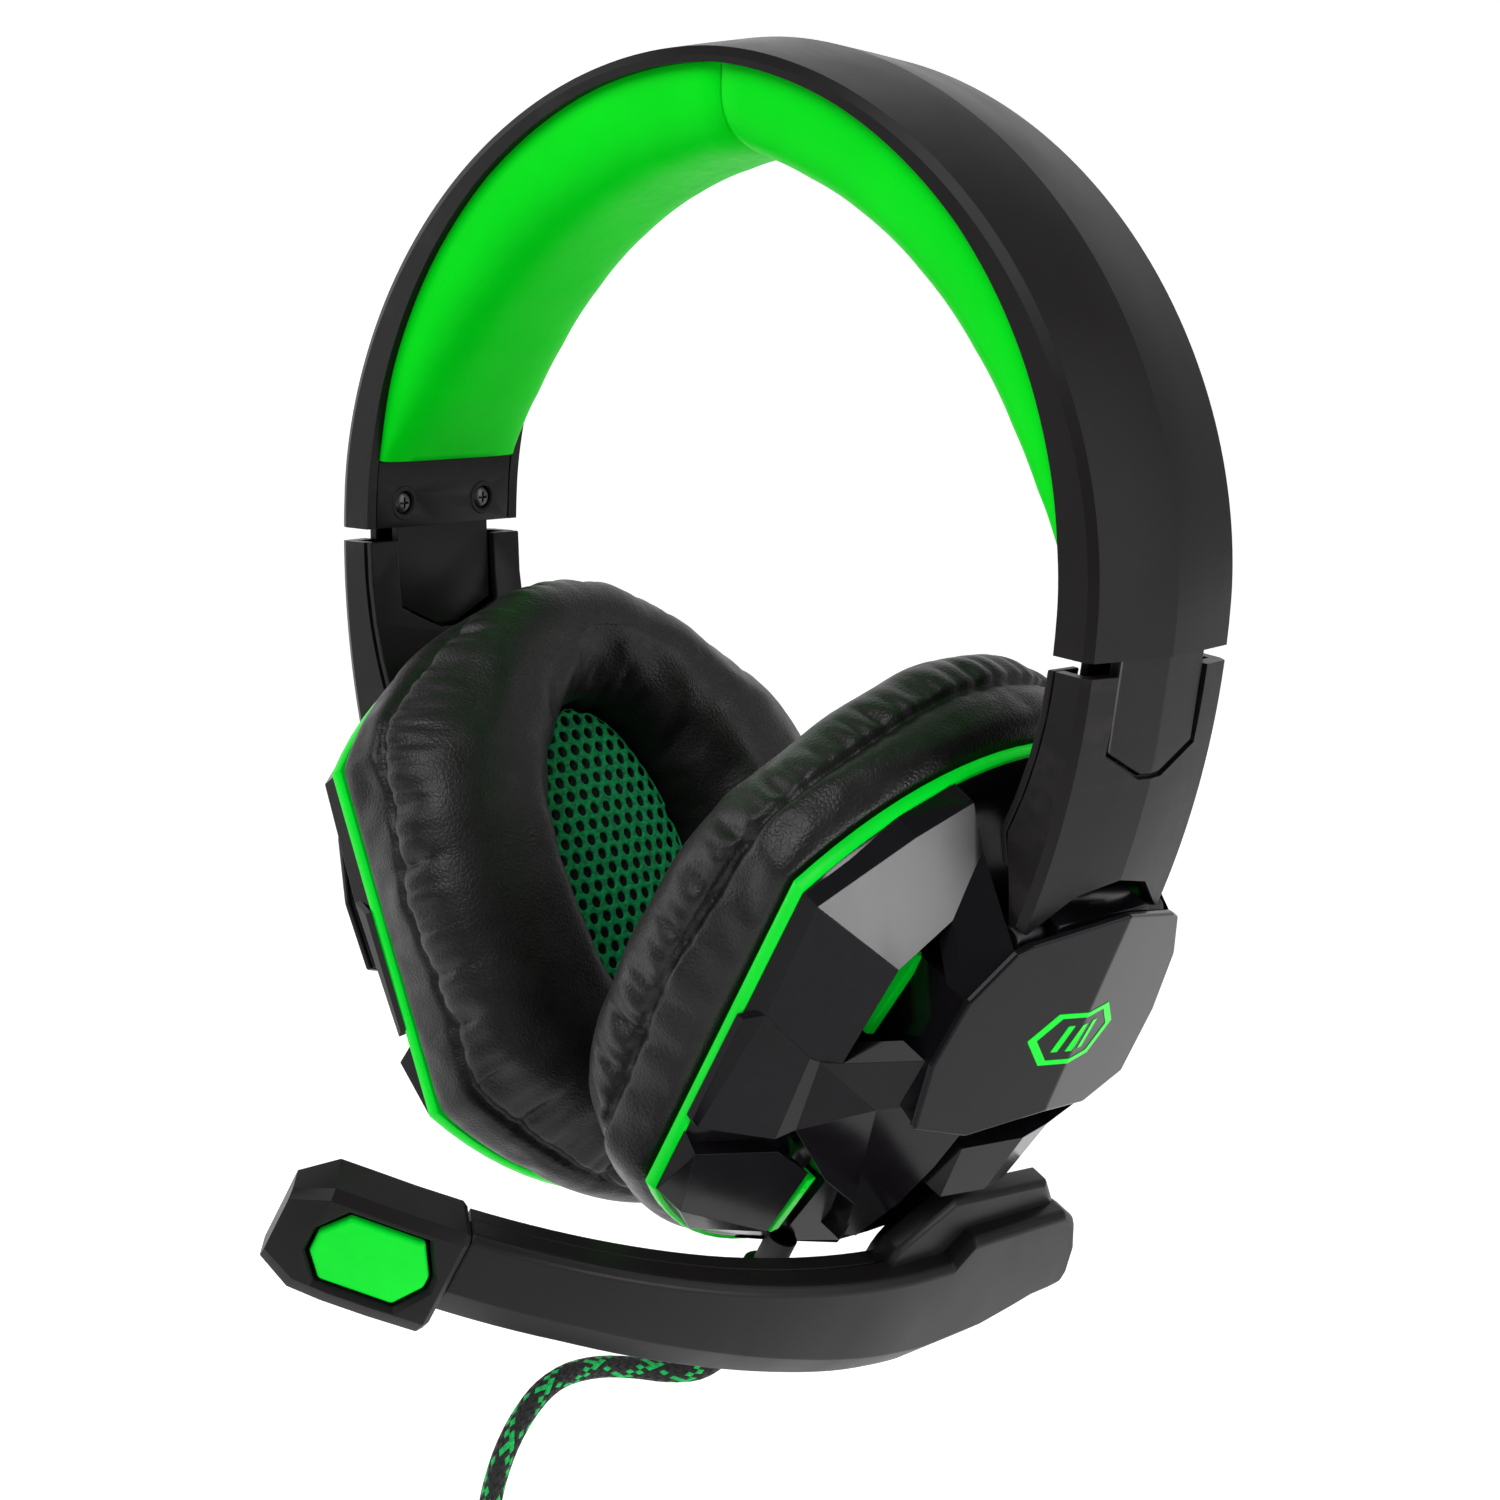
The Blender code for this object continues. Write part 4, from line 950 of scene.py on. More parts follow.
def flat_facets(parts):
    """Moves the corners of facets that share them until every facet is flat."""
    shared, spots, faces = {}, [], []
    for corners, tops, depth in parts:
        for corner in corners:
            if corner not in shared:
                shared[corner] = len(spots)
                spots.append(np.array(corner))
        if depth > 1.0:
            faces += [[shared[corners[i]] for i in face] for face in tops]
    for _ in range(400):
        move, shares = [np.zeros(3) for _ in spots], [1e-9] * len(spots)
        for face in faces:
            points = np.array([spots[i] for i in face])
            middle = points.mean(axis=0)
            normal = np.linalg.svd(points - middle)[2][2]
            for i, point in zip(face, points):
                move[i] = move[i] - normal * float((point - middle) @ normal)
                shares[i] += 1.0
        spots = [spot + step / share for spot, step, share in zip(spots, move, shares)]

    def moved(corner):
        return tuple(float(v) for v in spots[shared[corner]])

    return [([moved(corner) for corner in corners], tops, depth) for corners, tops, depth in parts]


FRONT = flat_facets(FRONT)


def keel_height(y, s):
    """Height of the keel plate's two flat faces, which meet on the cup's middle line."""
    return 33.9 - 0.0823 * (s + 0.5) - 0.1713 * abs(y)


def keel_corner(y, s):
    """A corner of the keel plate (y, s, h)."""
    return y, s, round(keel_height(y, s), 2)


KEEL_EDGE = ((0.0, 39.6), (-20.2, 34.3), (-23.0, 32.9), (-29.3, 23.6), (-31.5, 11.2), (-29.5, -1.8),
             (-16.8, -4.2), (0.0, -0.5))
KEEL = [keel_corner(y, s) for y, s in KEEL_EDGE] + [keel_corner(-y, s) for y, s in KEEL_EDGE[1:-1]]
KEEL_FACES = [(0, 1, 2, 3, 4, 5, 6, 7), (7, 13, 12, 11, 10, 9, 8, 0)]

# The tub's levels: share of the outline, shift up the cup and height
TUB = ((0.6, 0.0, -0.2), (0.99, 0.0, 0.2), (0.99, 0.0, 1.3), (0.965, 0.0, 2.4), (0.9, 0.0, 3.4),
       (0.8, 0.5, 5.0), (0.62, 2.0, 7.6), (0.45, 4.0, 13.0), (0.3, 5.0, 16.0))
# Room for the hinge at the cup's top, and the lug in it, across their width
HINGE_GAP = ((8.6, 80.0), (8.6, 44.4), (16.2, 28.5), (22.9, 25.0), (29.5, 28.0), (33.5, 36.0), (60.0, 60.0))
LUG = ((-4.0, -12.0), (6.0, -12.0), (5.2, 0.0), (3.2, 4.2), (-3.2, 4.2), (-5.2, 0.0))
# Undercut wall of the keel: its line under the plate and its line at the slots' floor
WALL_OVER = ((-28.8, 22.8, 26.2), (-31.0, 11.0, 26.4), (-29.0, -1.6, 27.9), (-16.4, -3.8, 30.2),
             (1.0, -0.9, 33.0), (1.0, 22.8, 30.8))
WALL_FOOT = ((-25.0, 22.0, 12.0), (-23.6, 5.8, 12.0), (-22.0, -3.0, 12.0), (-14.0, -4.0, 12.0),
             (1.0, -2.0, 12.0), (1.0, 22.0, 12.0))
# Green bars in the slots, with a painted glow: their ends, width and the height of each end
BARS = (((-24.9, 21.6), (-28.6, 5.6), 2.4, (12.6, 12.6)), ((-21.6, -29.0), (-19.4, -44.2), 2.3, (11.8, 8.6)))
RING = ((0.25, -1.2), (0.0, -0.8), (0.0, 0.8), (0.25, 1.2), (2.7, 1.2), (3.0, 0.8), (3.0, -0.8), (2.7, -1.2))


def cup_tub(side, label):
    """Tapering shell behind the armour, with room for the hinge."""
    rows = []
    for share, shift, h in TUB:
        rows.append([cup(side, h, y * share, s * share + shift) for y, s in cup_outline(0.4)])
    tub = make(f"cup_tub_{label}", *loft(rows), sharp=35.0)
    carve(tub, make("cutter", *loft([[cup(side, h, y, s) for h, s in HINGE_GAP] for y in (-21.0, 21.0)])))
    give(settle(tub, 35.0), f"cup_{label}", "gloss_black", (f"cup_shell_{label}",))


def keel_wall(side, label):
    """Undercut wall of the keel, leaning in to the slots' floor."""
    wedges = []
    for mirror in (1, -1):
        rows = [[cup(side, h, y * mirror, s) for y, s, h in line] for line in (WALL_OVER, WALL_FOOT)]
        wedges.append(rounded(make("wedge", *loft(rows)), 0.3, 12.0, 12.0))
    give(join(f"keel_wall_{label}", wedges), f"cup_{label}", "gloss_black")


def slot_bars_painted_glow(side, label):
    """Green bars in the slots on both sides of the keel, with a painted glow from their material."""
    bars = []
    for (y0, s0), (y1, s1), width, heights in BARS:
        long = math.hypot(y1 - y0, s1 - s0)
        a, b = (y1 - y0) / long, (s1 - s0) / long
        line = [(y0 - b * width / 2, s0 + a * width / 2), (y1 - b * width / 2, s1 + a * width / 2),
                (y1 + b * width / 2, s1 - a * width / 2), (y0 + b * width / 2, s0 - a * width / 2)]
        corners = [(y, s, heights[i in (1, 2)]) for i, (y, s) in enumerate(line)]
        bars += [(corners, [(0, 1, 2, 3)], 3.0, mirror) for mirror in (1, -1)]
    # the bars are green plastic; their material paints a glow on them, no lamp lights them
    light = slabs(f"slot_bars_painted_glow_{label}", bars, side)
    give(rounded(light, 0.3, 20.0, 20.0), f"cup_{label}", "green_light", (f"window_insert_{label}",))


def printed(quad):
    """A thin patch of print on the keel's faces."""
    return [(y, s, keel_height(y, s) + 0.12) for y, s in quad], [(0, 1, 2, 3)], 0.2, 1


def printed_mark(side, label):
    """Generic mark on the keel: a hexagon outline round three leaning bars, in short flat pieces."""
    hexagon = ((12.0, 0.0), (7.0, 5.2), (-7.0, 5.2), (-12.0, 0.0), (-7.0, -5.2), (7.0, -5.2))
    middle, inner_share, steps = 15.0, 0.82, 6
    pieces = []
    for (a0, b0), (a1, b1) in zip(hexagon, hexagon[1:] + hexagon[:1]):
        edges = [((a0 * k, middle + b0 * k), (a1 * k, middle + b1 * k)) for k in (1.0, inner_share)]
        for j in range(steps):
            quad = []
            for edge, t in ((0, j / steps), (0, (j + 1) / steps), (1, (j + 1) / steps), (1, j / steps)):
                (y0, s0), (y1, s1) = edges[edge]
                quad.append((y0 + (y1 - y0) * t, s0 + (s1 - s0) * t))
            pieces.append(printed(quad))
    for bar in range(3):
        y0 = -4.4 + 3.4 * bar
        for j in range(4):
            t0, t1 = -2.6 + 5.2 * j / 4, -2.6 + 5.2 * (j + 1) / 4
            quad = [(y0 + 0.35 * t + w, middle + t) for t, w in ((t0, 0.0), (t0, 1.5), (t1, 1.5), (t1, 0.0))]
            pieces.append(printed(quad))
    mark = slabs(f"printed_mark_{label}", pieces, side)
    # the print is given the green material with a painted glow
    give(settle(mark, 20.0), f"cup_{label}", "green_light")


for side, label in SIDES:
    body = f"cup_{label}"
    cup_tub(side, label)

    armour = slabs(f"armour_{label}", [(*part, mirror) for part in FRONT for mirror in (1, -1)], side)
    give(settle(bevel(armour, 0.4, 5.0, harden=True), None), body, "gloss_black")

    plate = slabs(f"keel_{label}", [(KEEL, KEEL_FACES, 1.5, 1)], side)
    give(settle(bevel(plate, 0.5, 8.0, harden=True), None), body, "gloss_black", (f"keel_plate_{label}",))

    keel_wall(side, label)

    rows = [[cup(side, HINGE_H + a, y, HINGE_S + b) for a, b in LUG] for y in (-12.9, 12.9)]
    lug = make(f"hinge_lug_{label}", *loft(rows))
    give(rounded(lug, 0.4, 20.0, 20.0), body, "gloss_black")

    slot_bars_painted_glow(side, label)

    rows = [[cup(side, h, y, s) for y, s in cup_outline(inset)] for inset, h in RING]
    # green ring with a painted glow from its material
    band = make(f"ring_painted_glow_{label}", *loft(rows, closed=True), sharp=35.0)
    give(band, body, "green_light", (f"light_ring_{label}",))

    printed_mark(side, label)


# ---------------------------------------------------------------- ear cushions and mesh

BETWEEN = 0.4                  # each cushion stays this far from the middle plane, where they press


def outline_radius(inset, pull, angles):
    """Distances of an inset, corner-rounded cup outline from its middle, at these angles."""
    line = []
    for y, s in cup_outline(inset, 40):
        k = 1.0 - pull * (y * s / (CUP_HALF * SIDE_TOP)) ** 2
        line.append((math.atan2(s * k, y * k) % (2 * math.pi), math.hypot(y * k, s * k)))
    line.sort()
    turn = np.array([a for a, _ in line])
    far = np.array([r for _, r in line])
    whole = 2 * math.pi
    return np.interp(angles, np.concatenate([turn - whole, turn, turn + whole]), np.tile(far, 3))


AROUND = 132
# Levels of the cushion's section: growth of its outline, rounding of the corners, height, and whose outline
SECTION = [
    (1.2, 0.0, -1.5, "cup"), (-0.9, 0.005, -2.6, "cup"), (-1.9, 0.01, -5.2, "cup"),
    (-2.3, 0.015, -8.2, "cup"), (-2.5, 0.02, -10.8, "cup"), (-2.0, 0.03, -12.6, "cup"),
    (-3.5, 0.045, -14.8, "cup"), (-3.6, 0.065, -18.2, "cup"), (-2.2, 0.09, -21.8, "cup"),
    (0.6, 0.12, -24.8, "cup"),
    (4.6, 0.15, -26.9, "cup"), (8.6, 0.17, -27.9, "cup"), (10.4, 0.0, -28.1, "ear"), (7.6, 0.0, -27.0, "ear"),
    (5.0, 0.0, -24.7, "ear"), (3.0, 0.0, -21.4, "ear"), (1.5, 0.0, -17.4, "ear"), (0.5, 0.0, -13.6, "ear"),
    (0.2, 0.0, -7.0, "ear"), (0.6, 0.0, -1.8, "ear")]
SEWN = (0, 1, 18, 19)          # levels stitched to the cup, which the filling does not move


def cushion_rings():
    """Cushion section points (y, s, h) round the cup, one list for each level of the section."""
    angles = np.array([2 * math.pi * (k + 0.5) / AROUND for k in range(AROUND)])
    rings = []
    for grow, pull, h, kind in SECTION:
        if kind == "cup":
            far = outline_radius(grow, pull, angles)
        else:
            wide, tall = EAR_HALF + grow, EAR_RISE + grow
            far = 1.0 / np.sqrt((np.cos(angles) / wide) ** 2 + (np.sin(angles) / tall) ** 2)
        rings.append([(far[k] * math.cos(a), far[k] * math.sin(a), h) for k, a in enumerate(angles)])
    return rings


def flatten(side, point):
    """Keeps a cushion point off the middle plane, where the two cushions press flat."""
    limit = BETWEEN * MM
    if side * point.x < limit:
        point.x = side * limit
    return point


def coordinates(mesh, kind="co"):
    """Positions or normals of a mesh's points, one row each."""
    flat = np.empty(len(mesh.vertices) * 3)
    mesh.vertices.foreach_get(kind, flat)
    return flat.reshape(-1, 3)


FILL_FRAMES = 20


def inflate(thing, pinned, pressure, shrink, cap):
    """Fills a closed mesh by a short cloth simulation without gravity; no point moves more than cap in mm."""
    group = thing.vertex_groups.new(name="sewn")
    group.add(pinned, 1.0, "REPLACE")
    rest = coordinates(thing.data)
    change = thing.modifiers.new("Fill", "CLOTH")
    cloth = change.settings
    cloth.quality = 6
    cloth.mass = 0.2
    cloth.tension_stiffness = cloth.compression_stiffness = 12.0
    cloth.shear_stiffness = 6.0
    cloth.bending_stiffness = 0.4
    cloth.use_pressure = True
    cloth.uniform_pressure_force = pressure
    cloth.shrink_min = cloth.shrink_max = shrink
    cloth.vertex_group_mass = "sewn"
    cloth.effector_weights.gravity = 0.0
    change.collision_settings.use_collision = False
    change.point_cache.frame_start = 1
    change.point_cache.frame_end = FILL_FRAMES
    scene = bpy.context.scene
    for number in range(1, FILL_FRAMES + 1):
        scene.frame_set(number)
        bpy.context.view_layer.update()
    graph = bpy.context.evaluated_depsgraph_get()
    moved = coordinates(thing.evaluated_get(graph).data)
    thing.modifiers.clear()
    thing.vertex_groups.clear()
    scene.frame_set(1)
    step = moved - rest
    length = np.linalg.norm(step, axis=1, keepdims=True)
    step *= np.minimum(1.0, cap * MM / np.maximum(length, 1e-9))
    most, mean = (round(float(value) / MM, 2) for value in (length.max(), length.mean()))
    print(thing.name, "cloth moved by up to", most, "mm, mean", mean)
    thing.data.vertices.foreach_set("co", (rest + step).ravel())
    thing.data.update()


def pleat(turn, seed):
    """Depth of the gathers at an angle round the cushion: uneven, sharp folds between soft bulges."""
    warp = turn + 0.011 * math.sin(9.0 * turn + seed) + 0.006 * math.sin(23.0 * turn + 2.0 * seed)
    fold = abs(math.sin(17.0 * warp)) ** 0.55
    small = abs(math.sin(41.0 * warp + 1.3)) ** 0.8
    strength = 0.55 + 0.45 * math.sin(5.0 * turn + seed) * math.sin(3.0 * turn + 1.7 * seed)
    return strength * (1.0 - fold) + 0.22 * (1.0 - small)


def gather(side, mesh):
    """Presses the gathers, the seam and some unevenness into a cushion's leather."""
    points, normals = coordinates(mesh), coordinates(mesh, "normal")
    origin = np.array(cup(side, 0.0, 0.0, 0.0))
    outward = np.array(cup(side, 1.0, 0.0, 0.0)) - origin
    upward = np.array(cup(side, 0.0, 0.0, 1.0)) - origin
    outward, upward = outward / np.linalg.norm(outward), upward / np.linalg.norm(upward)
    h = (points - origin) @ outward / MM
    s = (points - origin) @ upward / MM
    y = points[:, 1] / MM
    turn = np.arctan2(s, y)
    far = np.hypot(s, y)
    edge = outline_radius(0.0, 0.05, turn % (2 * math.pi))
    seed = 0.4 if side == 1 else 2.1
    depth = np.array([pleat(t, seed) for t in turn])
    outer = np.clip((far - edge + 9.0) / 6.0, 0.0, 1.0)
    skirt = np.exp(-((h + 11.0) / 2.0) ** 2) * 0.12
    front = np.exp(-((h + 16.6) / 4.2) ** 2)
    seam = 1.1 * np.exp(-((h + 12.7) / 0.7) ** 2)
    amount = outer * (2.7 * depth * np.maximum(front, skirt) + seam)
    lump = np.array([math.sin(7.0 * t + seed) * math.sin(11.0 * t - seed) for t in turn])
    amount = amount + 0.35 * lump * np.exp(-((h + 23.0) / 5.0) ** 2)
    points -= normals * (amount * MM)[:, None]
    points[:, 0] = side * np.maximum(side * points[:, 0], BETWEEN * MM)
    mesh.vertices.foreach_set("co", points.ravel())
    mesh.update()


def ear_cushion(side, label):
    """Ring of padded leatherette, pressed flat against the other cushion where they meet."""
    rows = [[flatten(side, cup(side, h, y, s)) for y, s, h in ring] for ring in cushion_rings()]
    cushion = make(f"cushion_{label}", *loft(rows, closed=True), sharp=60.0)
    here = coordinates(cushion.data)
    wanted = np.array([tuple(p) for level in SEWN for p in rows[level]])
    sewn = [i for i, p in enumerate(here) if np.min(np.abs(wanted - p).sum(1)) < 1e-7]
    inflate(cushion, sewn, 4.0, -0.03, 2.2)
    fine = cushion.modifiers.new("Fine", "SUBSURF")
    fine.levels = fine.render_levels = 2
    settle(cushion, 60.0)
    gather(side, cushion.data)
    give(cushion, f"cup_{label}", "leatherette", (f"ear_cushion_{label}",))


CLOTH_HALF, CLOTH_RISE = 20.2, 34.2        # half the width and height of the mesh cloth
EYE_PITCH, EYE_ROW = 3.3, 2.9              # between eyes in a row, and between rows


def dome(y, s):
    """Height of the stretched cloth, which bulges a little over the foam."""
    return -11.8 - 1.6 * max(0.0, 1.0 - (y / CLOTH_HALF) ** 2 - (s / CLOTH_RISE) ** 2)


def cloth_eyes():
    """Corners (y, s) of the cloth's cells, and each cell's ring of corners and its hole's twelve points."""
    corners, eyes, index = [], [], {}

    def corner(y, s):
        key = (round(y, 2), round(s, 2))
        if key not in index:
            reach = max(1.0, math.hypot(y / CLOTH_HALF, s / CLOTH_RISE))
            index[key] = len(corners)
            corners.append((y / reach, s / reach))
        return index[key]

    for row in range(-13, 14):
        for column in range(-7, 8):
            cy = EYE_PITCH * (column + 0.5 * (row % 2))
            cs = EYE_ROW * row
            if math.hypot(cy / CLOTH_HALF, cs / CLOTH_RISE) > 1.02:
                continue
            ring = []
            for k in range(6):
                a = math.pi / 6 + math.pi / 3 * k
                y, s = EYE_PITCH / math.sqrt(3) * math.cos(a), EYE_ROW / 1.5 * math.sin(a)
                ring.append(corner(cy + y, cs + s))
            middle = np.mean([corners[i] for i in ring], axis=0)
            hole = []
            for k in range(6):
                a, b = np.array(corners[ring[k]]), np.array(corners[ring[(k + 1) % 6]])
                for point in ((2 * a + b) / 3, (a + 2 * b) / 3):
                    hole.append(middle + (point - middle) * 0.62)
            eyes.append((ring, hole))
    return corners, eyes


def mesh_cloth(side, label):
    """Open mesh cloth stretched over the opening: hexagonal eyes with narrow strands between."""
    flat, eyes = cloth_eyes()
    faces = []
    for ring, hole in eyes:
        start = len(flat)
        flat += [tuple(p) for p in hole]
        for k in range(6):
            a, b = ring[k], ring[(k + 1) % 6]
            i, j, n = start + 2 * k, start + 2 * k + 1, start + (2 * k + 2) % 12
            if a != b:
                faces.append((a, b, j, i))
            faces.append((b, n, j))
    used = sorted({i for face in faces for i in face})
    remap = {old: new for new, old in enumerate(used)}
    mesh = bpy.data.meshes.new(f"mesh_cloth_{label}")
    points = [tuple(cup(side, dome(*flat[i]), *flat[i])) for i in used]
    mesh.from_pydata(points, [], [tuple(remap[i] for i in face) for face in faces])
    shell = bmesh.new()
    shell.from_mesh(mesh)
    bmesh.ops.remove_doubles(shell, verts=shell.verts, dist=5e-6)
    bmesh.ops.dissolve_degenerate(shell, edges=shell.edges, dist=5e-6)
    bmesh.ops.recalc_face_normals(shell, faces=shell.faces)
    area = sum(face.calc_area() for face in shell.faces)
    shell.to_mesh(mesh)
    shell.free()
    cloth = put(f"mesh_cloth_{label}", mesh)
    thread = cloth.modifiers.new("Thread", "SOLIDIFY")
    thread.thickness = 0.55 * MM
    thread.offset = 0.0
    rounder = cloth.modifiers.new("Round", "SUBSURF")
    rounder.levels = rounder.render_levels = 1
    settle(cloth, 80.0)
    print("cloth strands", round(area * 1e6, 1), "mm2, eyes", len(eyes))
    give(cloth, f"cup_{label}", "green_mesh", (f"ear_mesh_{label}",))


for side, label in SIDES:
    ear_cushion(side, label)
    mesh_cloth(side, label)
    dress(f"ear_foam_{label}", f"cup_{label}", "dark_foam", 0.4, name=f"foam_disc_{label}")


# ---------------------------------------------------------------- boom and microphone

def boom_section(reach, top, low, outer, inner, chamfer, facet):
    """Across the boom: a bevel above its face and a broad facet below it."""
    line = [(-low + 1.7 * facet, outer), (top - chamfer, outer), (top, outer - chamfer), (top, inner),
            (-low, inner), (-low, outer - facet)]
    return [boom(reach, r, across) for across, r in line]


# How far the boom's edges lie above and below its middle line, at a reach from the hub
BOOM_EDGES = [
    (-45.0, 1.5, 8.0), (-42.0, 8.2, 8.8), (-37.0, 14.6, 9.5), (-32.5, 16.8, 11.2), (-24.0, 16.5, 14.0),
    (-8.0, 15.6, 16.0), (-5.5, 15.4, 16.0), (-3.0, 10.2, 15.9), (10.0, 9.6, 15.0), (30.0, 9.3, 13.0),
    (50.0, 9.0, 11.2), (75.0, 9.0, 9.5), (100.0, 9.0, 8.8)]
BOOM_REACHES = [-42.0, -37.0, -32.5, -24.0, -16.0, -8.0, -5.5, -3.0] + [4.0 * i for i in range(25)]


def boom_half(name, node, ends, inset, width, *section):
    """The boom's cover or back, between two ends and inset from its edges."""
    at, tops, lows = zip(*BOOM_EDGES)
    rows = []
    for reach in [ends[0]] + BOOM_REACHES + [ends[1]]:
        top, low = np.interp(reach, at, tops) - inset, np.interp(reach, at, lows) - inset
        rows.append(boom_section(reach, top, low, *section))
    give(rounded(make(name, *loft(rows)), width, 12.0, 10.0), "boom", "boom_black", (node,))


boom_half("boom_cover", "boom_outer_shell", (-45.0, 100.0), 0.0, 0.45, 0.0, -5.5, 1.2, 3.8)
boom_half("boom_back", "boom_inner_shell", (-44.4, 99.6), 0.5, 0.4, -5.9, -9.0, 0.2, 0.2)

plan = [(25.2, 8.5), (24.4, 13.4), (15.0, 23.0), (-14.0, 22.6), (-21.5, 16.0), (-23.4, 8.5)]
levels = ((0.96, -3.6), (1.0, -4.6), (1.0, -8.2))
rows = [[boom(HUB_REACH + x * k, r, a * k) for x, a in plan] for k, r in levels]
disc = make("boom_turntable", *loft(rows))
give(rounded(disc, 0.4, 20.0, 20.0), "boom", "boom_black")

# Sections of the microphone's head: reach, top, low, outer, inner, chamfer, facet
HEAD = ((100.3, 8.9, 10.9, 0.6, -8.6, 1.0, 1.4), (101.3, 9.5, 11.5, 1.5, -9.0, 1.6, 1.6),
        (110.0, 9.5, 11.5, 1.5, -9.0, 1.6, 1.6), (118.0, 9.5, 11.5, 1.5, -9.0, 1.6, 1.6),
        (124.0, 9.3, 11.3, 1.4, -9.0, 1.6, 1.6), (130.0, 5.5, 8.5, 0.0, -7.0, 1.4, 1.4))
WINDOW = ((-0.1, 0.0), (3.2, 6.3), (16.6, 6.3), (20.4, 1.5), (20.4, -3.0), (17.0, -7.6), (3.6, -7.6),
          (-0.1, -2.4))


def window_rows(levels):
    """Loops of the window's outline, grown about its middle, one for each growth and height."""
    rows = []
    for grow, r in levels:
        wide, tall = 1.0 + grow / 10.2, 1.0 + grow / 7.0
        rows.append([boom(113.7 + (x - 10.2) * wide, r, -0.6 + (a + 0.6) * tall) for x, a in WINDOW])
    return rows


head = make("microphone_cover", *loft([boom_section(*section) for section in HEAD]))
carve(head, make("cutter", *loft(window_rows(((1.6, 2.4), (0.2, 0.5), (-0.4, -5.4))))))
give(rounded(head, 0.45, 12.0, 12.0), "boom", "boom_black", ("microphone_head",))
# the window is green plastic with a painted glow from its material
window = make("microphone_window_painted_glow", *loft(window_rows(((-0.5, -0.4), (-0.5, 0.75), (-1.1, 1.15)))))
give(rounded(window, 0.35, 12.0, 12.0), "boom", "green_light", ("microphone_window",))
dress("microphone_capsule", "boom", "driver_metal", 0.2, name="capsule_finish")


# ---------------------------------------------------------------- small pieces

dress("boom_hub", "cup_left", "boom_black", 0.4, name="hub_collar")
dress("boom_axle", "cup_left", "spring_steel", 0.2, name="hub_axle")
dress("lead_tie", "cup_left", "rubber_black", 0.3, name="tie_strap")
for side, label in SIDES:
    dress(f"baffle_{label}", f"cup_{label}", "shell_black", 0.2, name=f"baffle_plate_{label}")
    dress(f"speaker_{label}", f"cup_{label}", "driver_metal", 0.3, name=f"driver_{label}")
    dress(f"circuit_board_{label}", f"cup_{label}", "board_green", 0.15, name=f"board_{label}")
dress("spring_strip", "headband", "spring_steel", 0.15, name="spring_band")

profile = [(2.85, 49.2), (2.85, 56.0), (4.0, 56.2), (4.4, 56.6), (4.4, 58.2), (3.9, 58.8)]
for i in range(5):
    start = 59.4 + 2.9 * i
    wide = 3.7 - 0.16 * i
    profile += [(wide - 0.7, start), (wide - 0.7, start + 0.9), (wide, start + 1.2), (wide, start + 2.4)]
profile += [(2.75, 73.9), (2.15, 74.0), (2.15, 49.2)]
rows = turned(profile, 32, lambda a, b, depth: cup(1, 6.5 + a, -12.0 + b, -depth))
relief = make("ribbed_relief", *loft(rows, closed=True), sharp=35.0)
give(relief, "cup_left", "rubber_black", ("strain_relief",))

plug_top = COIL + np.array([0.0, 24.0, -24.52 - 22.3])


def hanging(profile, name, slot, node):
    """A turned piece of the plug, its depths down from the plug's top."""
    x, y, z = plug_top
    rows = turned(profile, 32, lambda a, b, depth: arch(x + a, y + b, z - depth))
    return give(make(name, *loft(rows)), "cup_left", slot, (node,))


grip = [(2.1, 0.0), (2.9, 0.3)]
for i in range(4):
    grip += [(2.9, 1.0 + 2.2 * i), (2.4, 1.3 + 2.2 * i), (2.4, 2.0 + 2.2 * i), (3.0, 2.3 + 2.2 * i)]
grip += [(3.3, 10.6), (4.2, 12.2), (4.3, 13.0)]
for i in range(5):
    grip += [(4.3, 15.0 + 2.2 * i), (4.05, 15.2 + 2.2 * i), (4.05, 15.8 + 2.2 * i), (4.3, 16.0 + 2.2 * i)]
grip += [(4.3, 29.2), (3.9, 29.9), (2.9, 30.0), (2.9, 27.0)]
plug_grip = hanging(grip, "plug_grip", "rubber_black", "plug_body")
pin = [(2.6, 27.4), (2.6, 29.8), (1.75, 30.1)]
for start in (32.6, 35.4, 38.2):
    pin += [(1.75, start), (1.62, start + 0.1), (1.62, start + 0.7), (1.75, start + 0.8)]
pin += [(1.75, 40.2), (1.3, 41.0), (1.75, 42.0), (1.5, 43.0), (0.6, 44.0)]
plug_tip = hanging(pin, "plug_contact", "plug_metal", "plug_pin")


# ---------------------------------------------------------------- studio

def stage_material(name, colour):
    """White paper that gives off a little light."""
    nodes = Nodes(name, colour, 0.7)
    nodes.colour(nodes.mix(nodes.noise(3.0, 2.0), colour, tint(colour, 0.99)))
    nodes.bump(nodes.noise(900.0, 2.0), 0.01)
    nodes.set(Emission_Color=(1.0, 1.0, 1.0, 1.0), Emission_Strength=0.5, Specular_IOR_Level=0.1)
    return nodes.material


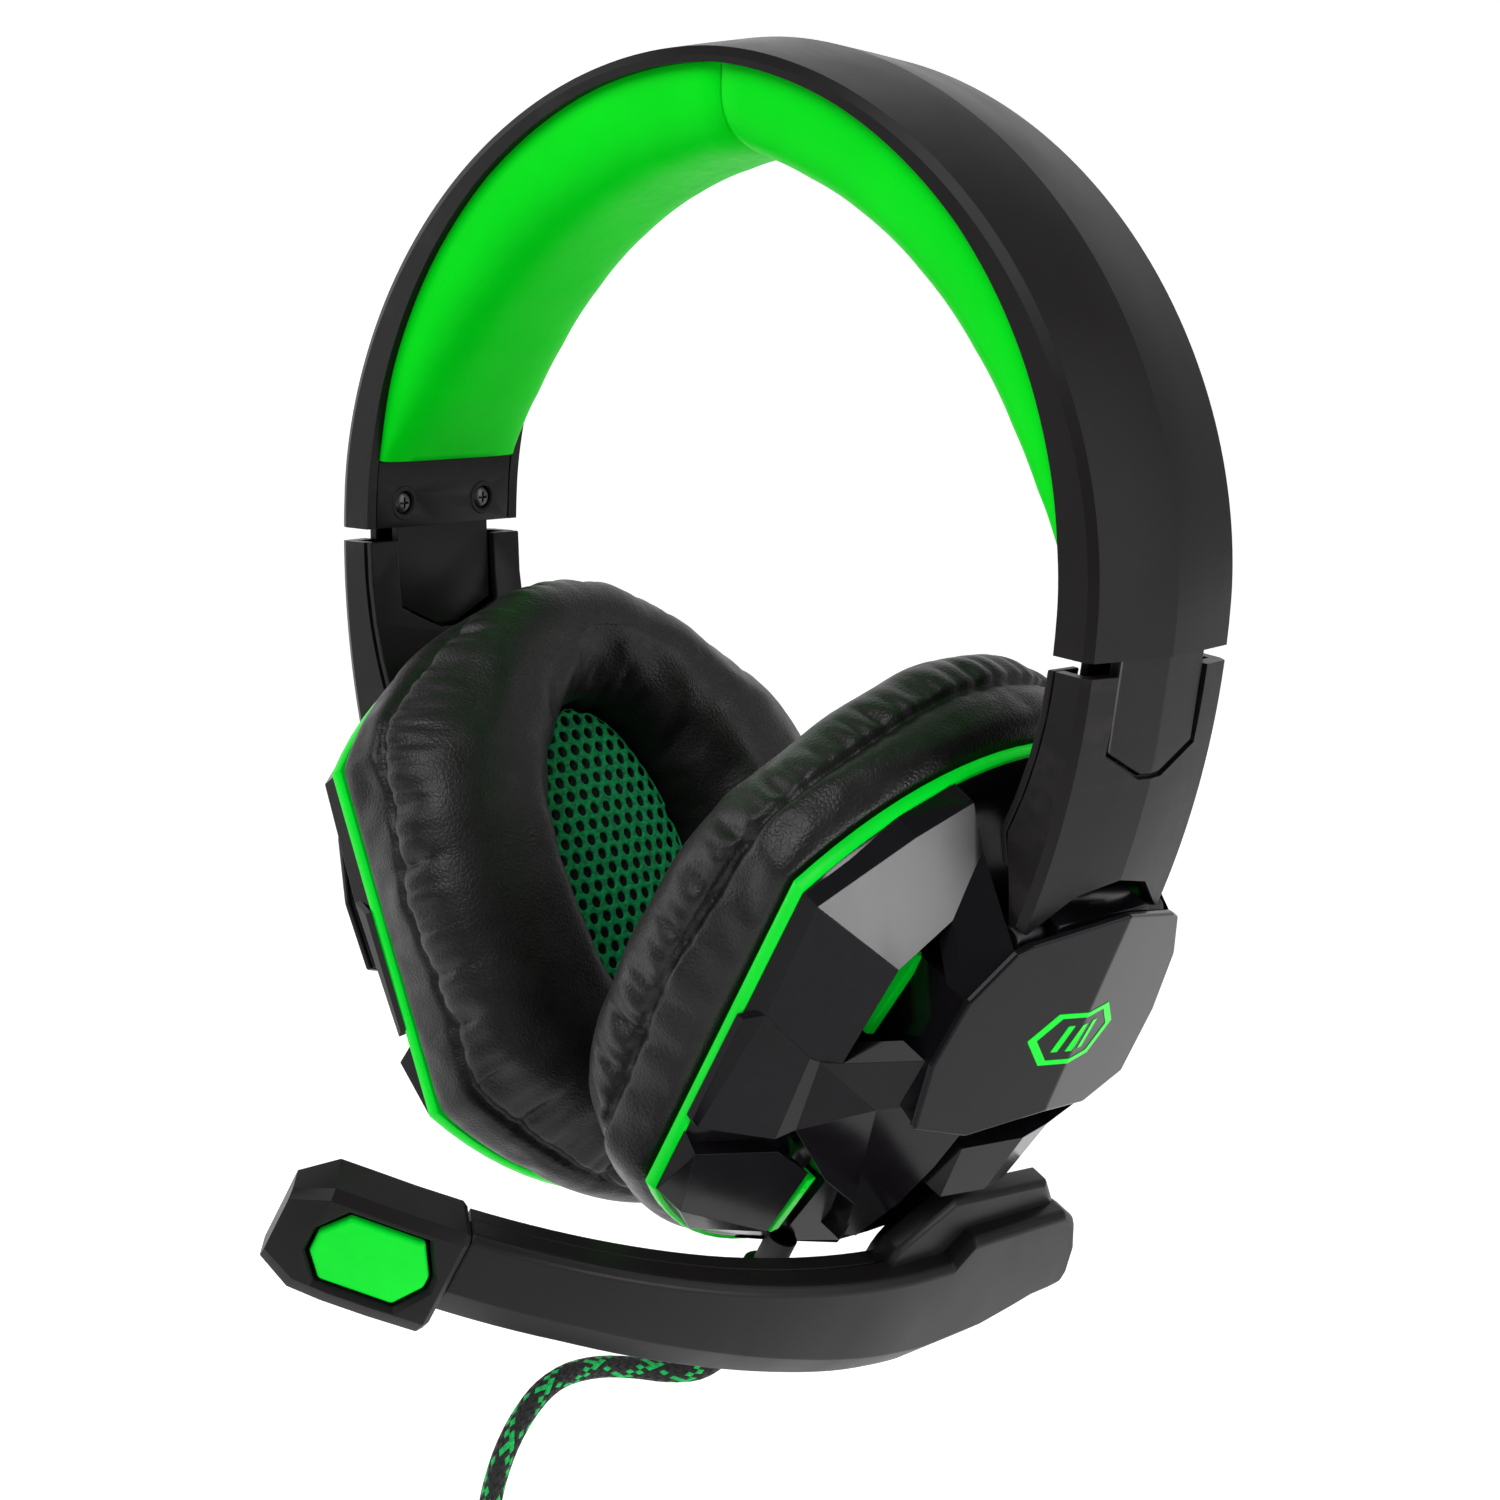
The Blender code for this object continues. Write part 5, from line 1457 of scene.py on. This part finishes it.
# The backdrop's sweep in metres: a floor, a bend and a wall, away from the camera
FLOOR, NEAR, FAR, BEND = -0.38, -1.2, 1.4, 1.2
BEND_START = 0.55
sweep = []
for i in range(30):
    t = i / 29
    if t < BEND_START:
        sweep.append((NEAR + 2.6 * t / BEND_START, FLOOR))
    else:
        a = (t - BEND_START) / 0.45 * math.pi / 2
        sweep.append((FAR + BEND * math.sin(a), FLOOR + BEND * (1.0 - math.cos(a))))
sweep.append((FAR + BEND, FLOOR + 3.2))
away = Vector((-math.sin(azimuth), math.cos(azimuth), 0.0))
points = []
for x, z in sweep:
    for across in (-3.0, 3.0):
        p = away * x + level * across
        points.append((p.x, p.y, z))
faces = [(a, a + 1, a + 3, a + 2) for a in range(0, 2 * len(sweep) - 2, 2)]
mesh = bpy.data.meshes.new("backdrop")
mesh.from_pydata(points, [], faces)
mesh.shade_smooth()
mesh.materials.append(stage_material("paper", (0.90, 0.90, 0.90)))
backdrop = put("backdrop", mesh)


def area_light(name, azimuth_deg, elevation_deg, distance, width, height, power):
    """A soft box that looks at the middle of the cups."""
    direction = direction_from(azimuth_deg, elevation_deg)
    lamp = bpy.data.lights.new(name, "AREA")
    lamp.shape = "RECTANGLE"
    lamp.size, lamp.size_y, lamp.energy = width, height, power
    thing = put(name, lamp)
    thing.location = Vector((0.0, 0.0, -0.13)) + direction * distance
    thing.rotation_euler = direction.to_track_quat("Z", "Y").to_euler()


area_light("key", 8.0, 50.0, 1.3, 0.8, 0.8, 10.0)
area_light("side", 118.0, 20.0, 1.2, 0.45, 1.1, 4.3)
area_light("fill", -62.0, 14.0, 1.4, 0.7, 1.1, 6.0)
area_light("low_right", 91.7, -7.0, 0.56, 0.11, 0.11, 1.1)

world = bpy.data.worlds.new("studio")
world.use_nodes = True
world.node_tree.nodes["Background"].inputs["Color"].default_value = (1.0, 1.0, 1.0, 1.0)
world.node_tree.nodes["Background"].inputs["Strength"].default_value = 0.32
bpy.context.scene.world = world
bpy.context.scene.view_settings.view_transform = "Standard"
bpy.context.scene.view_settings.look = "None"
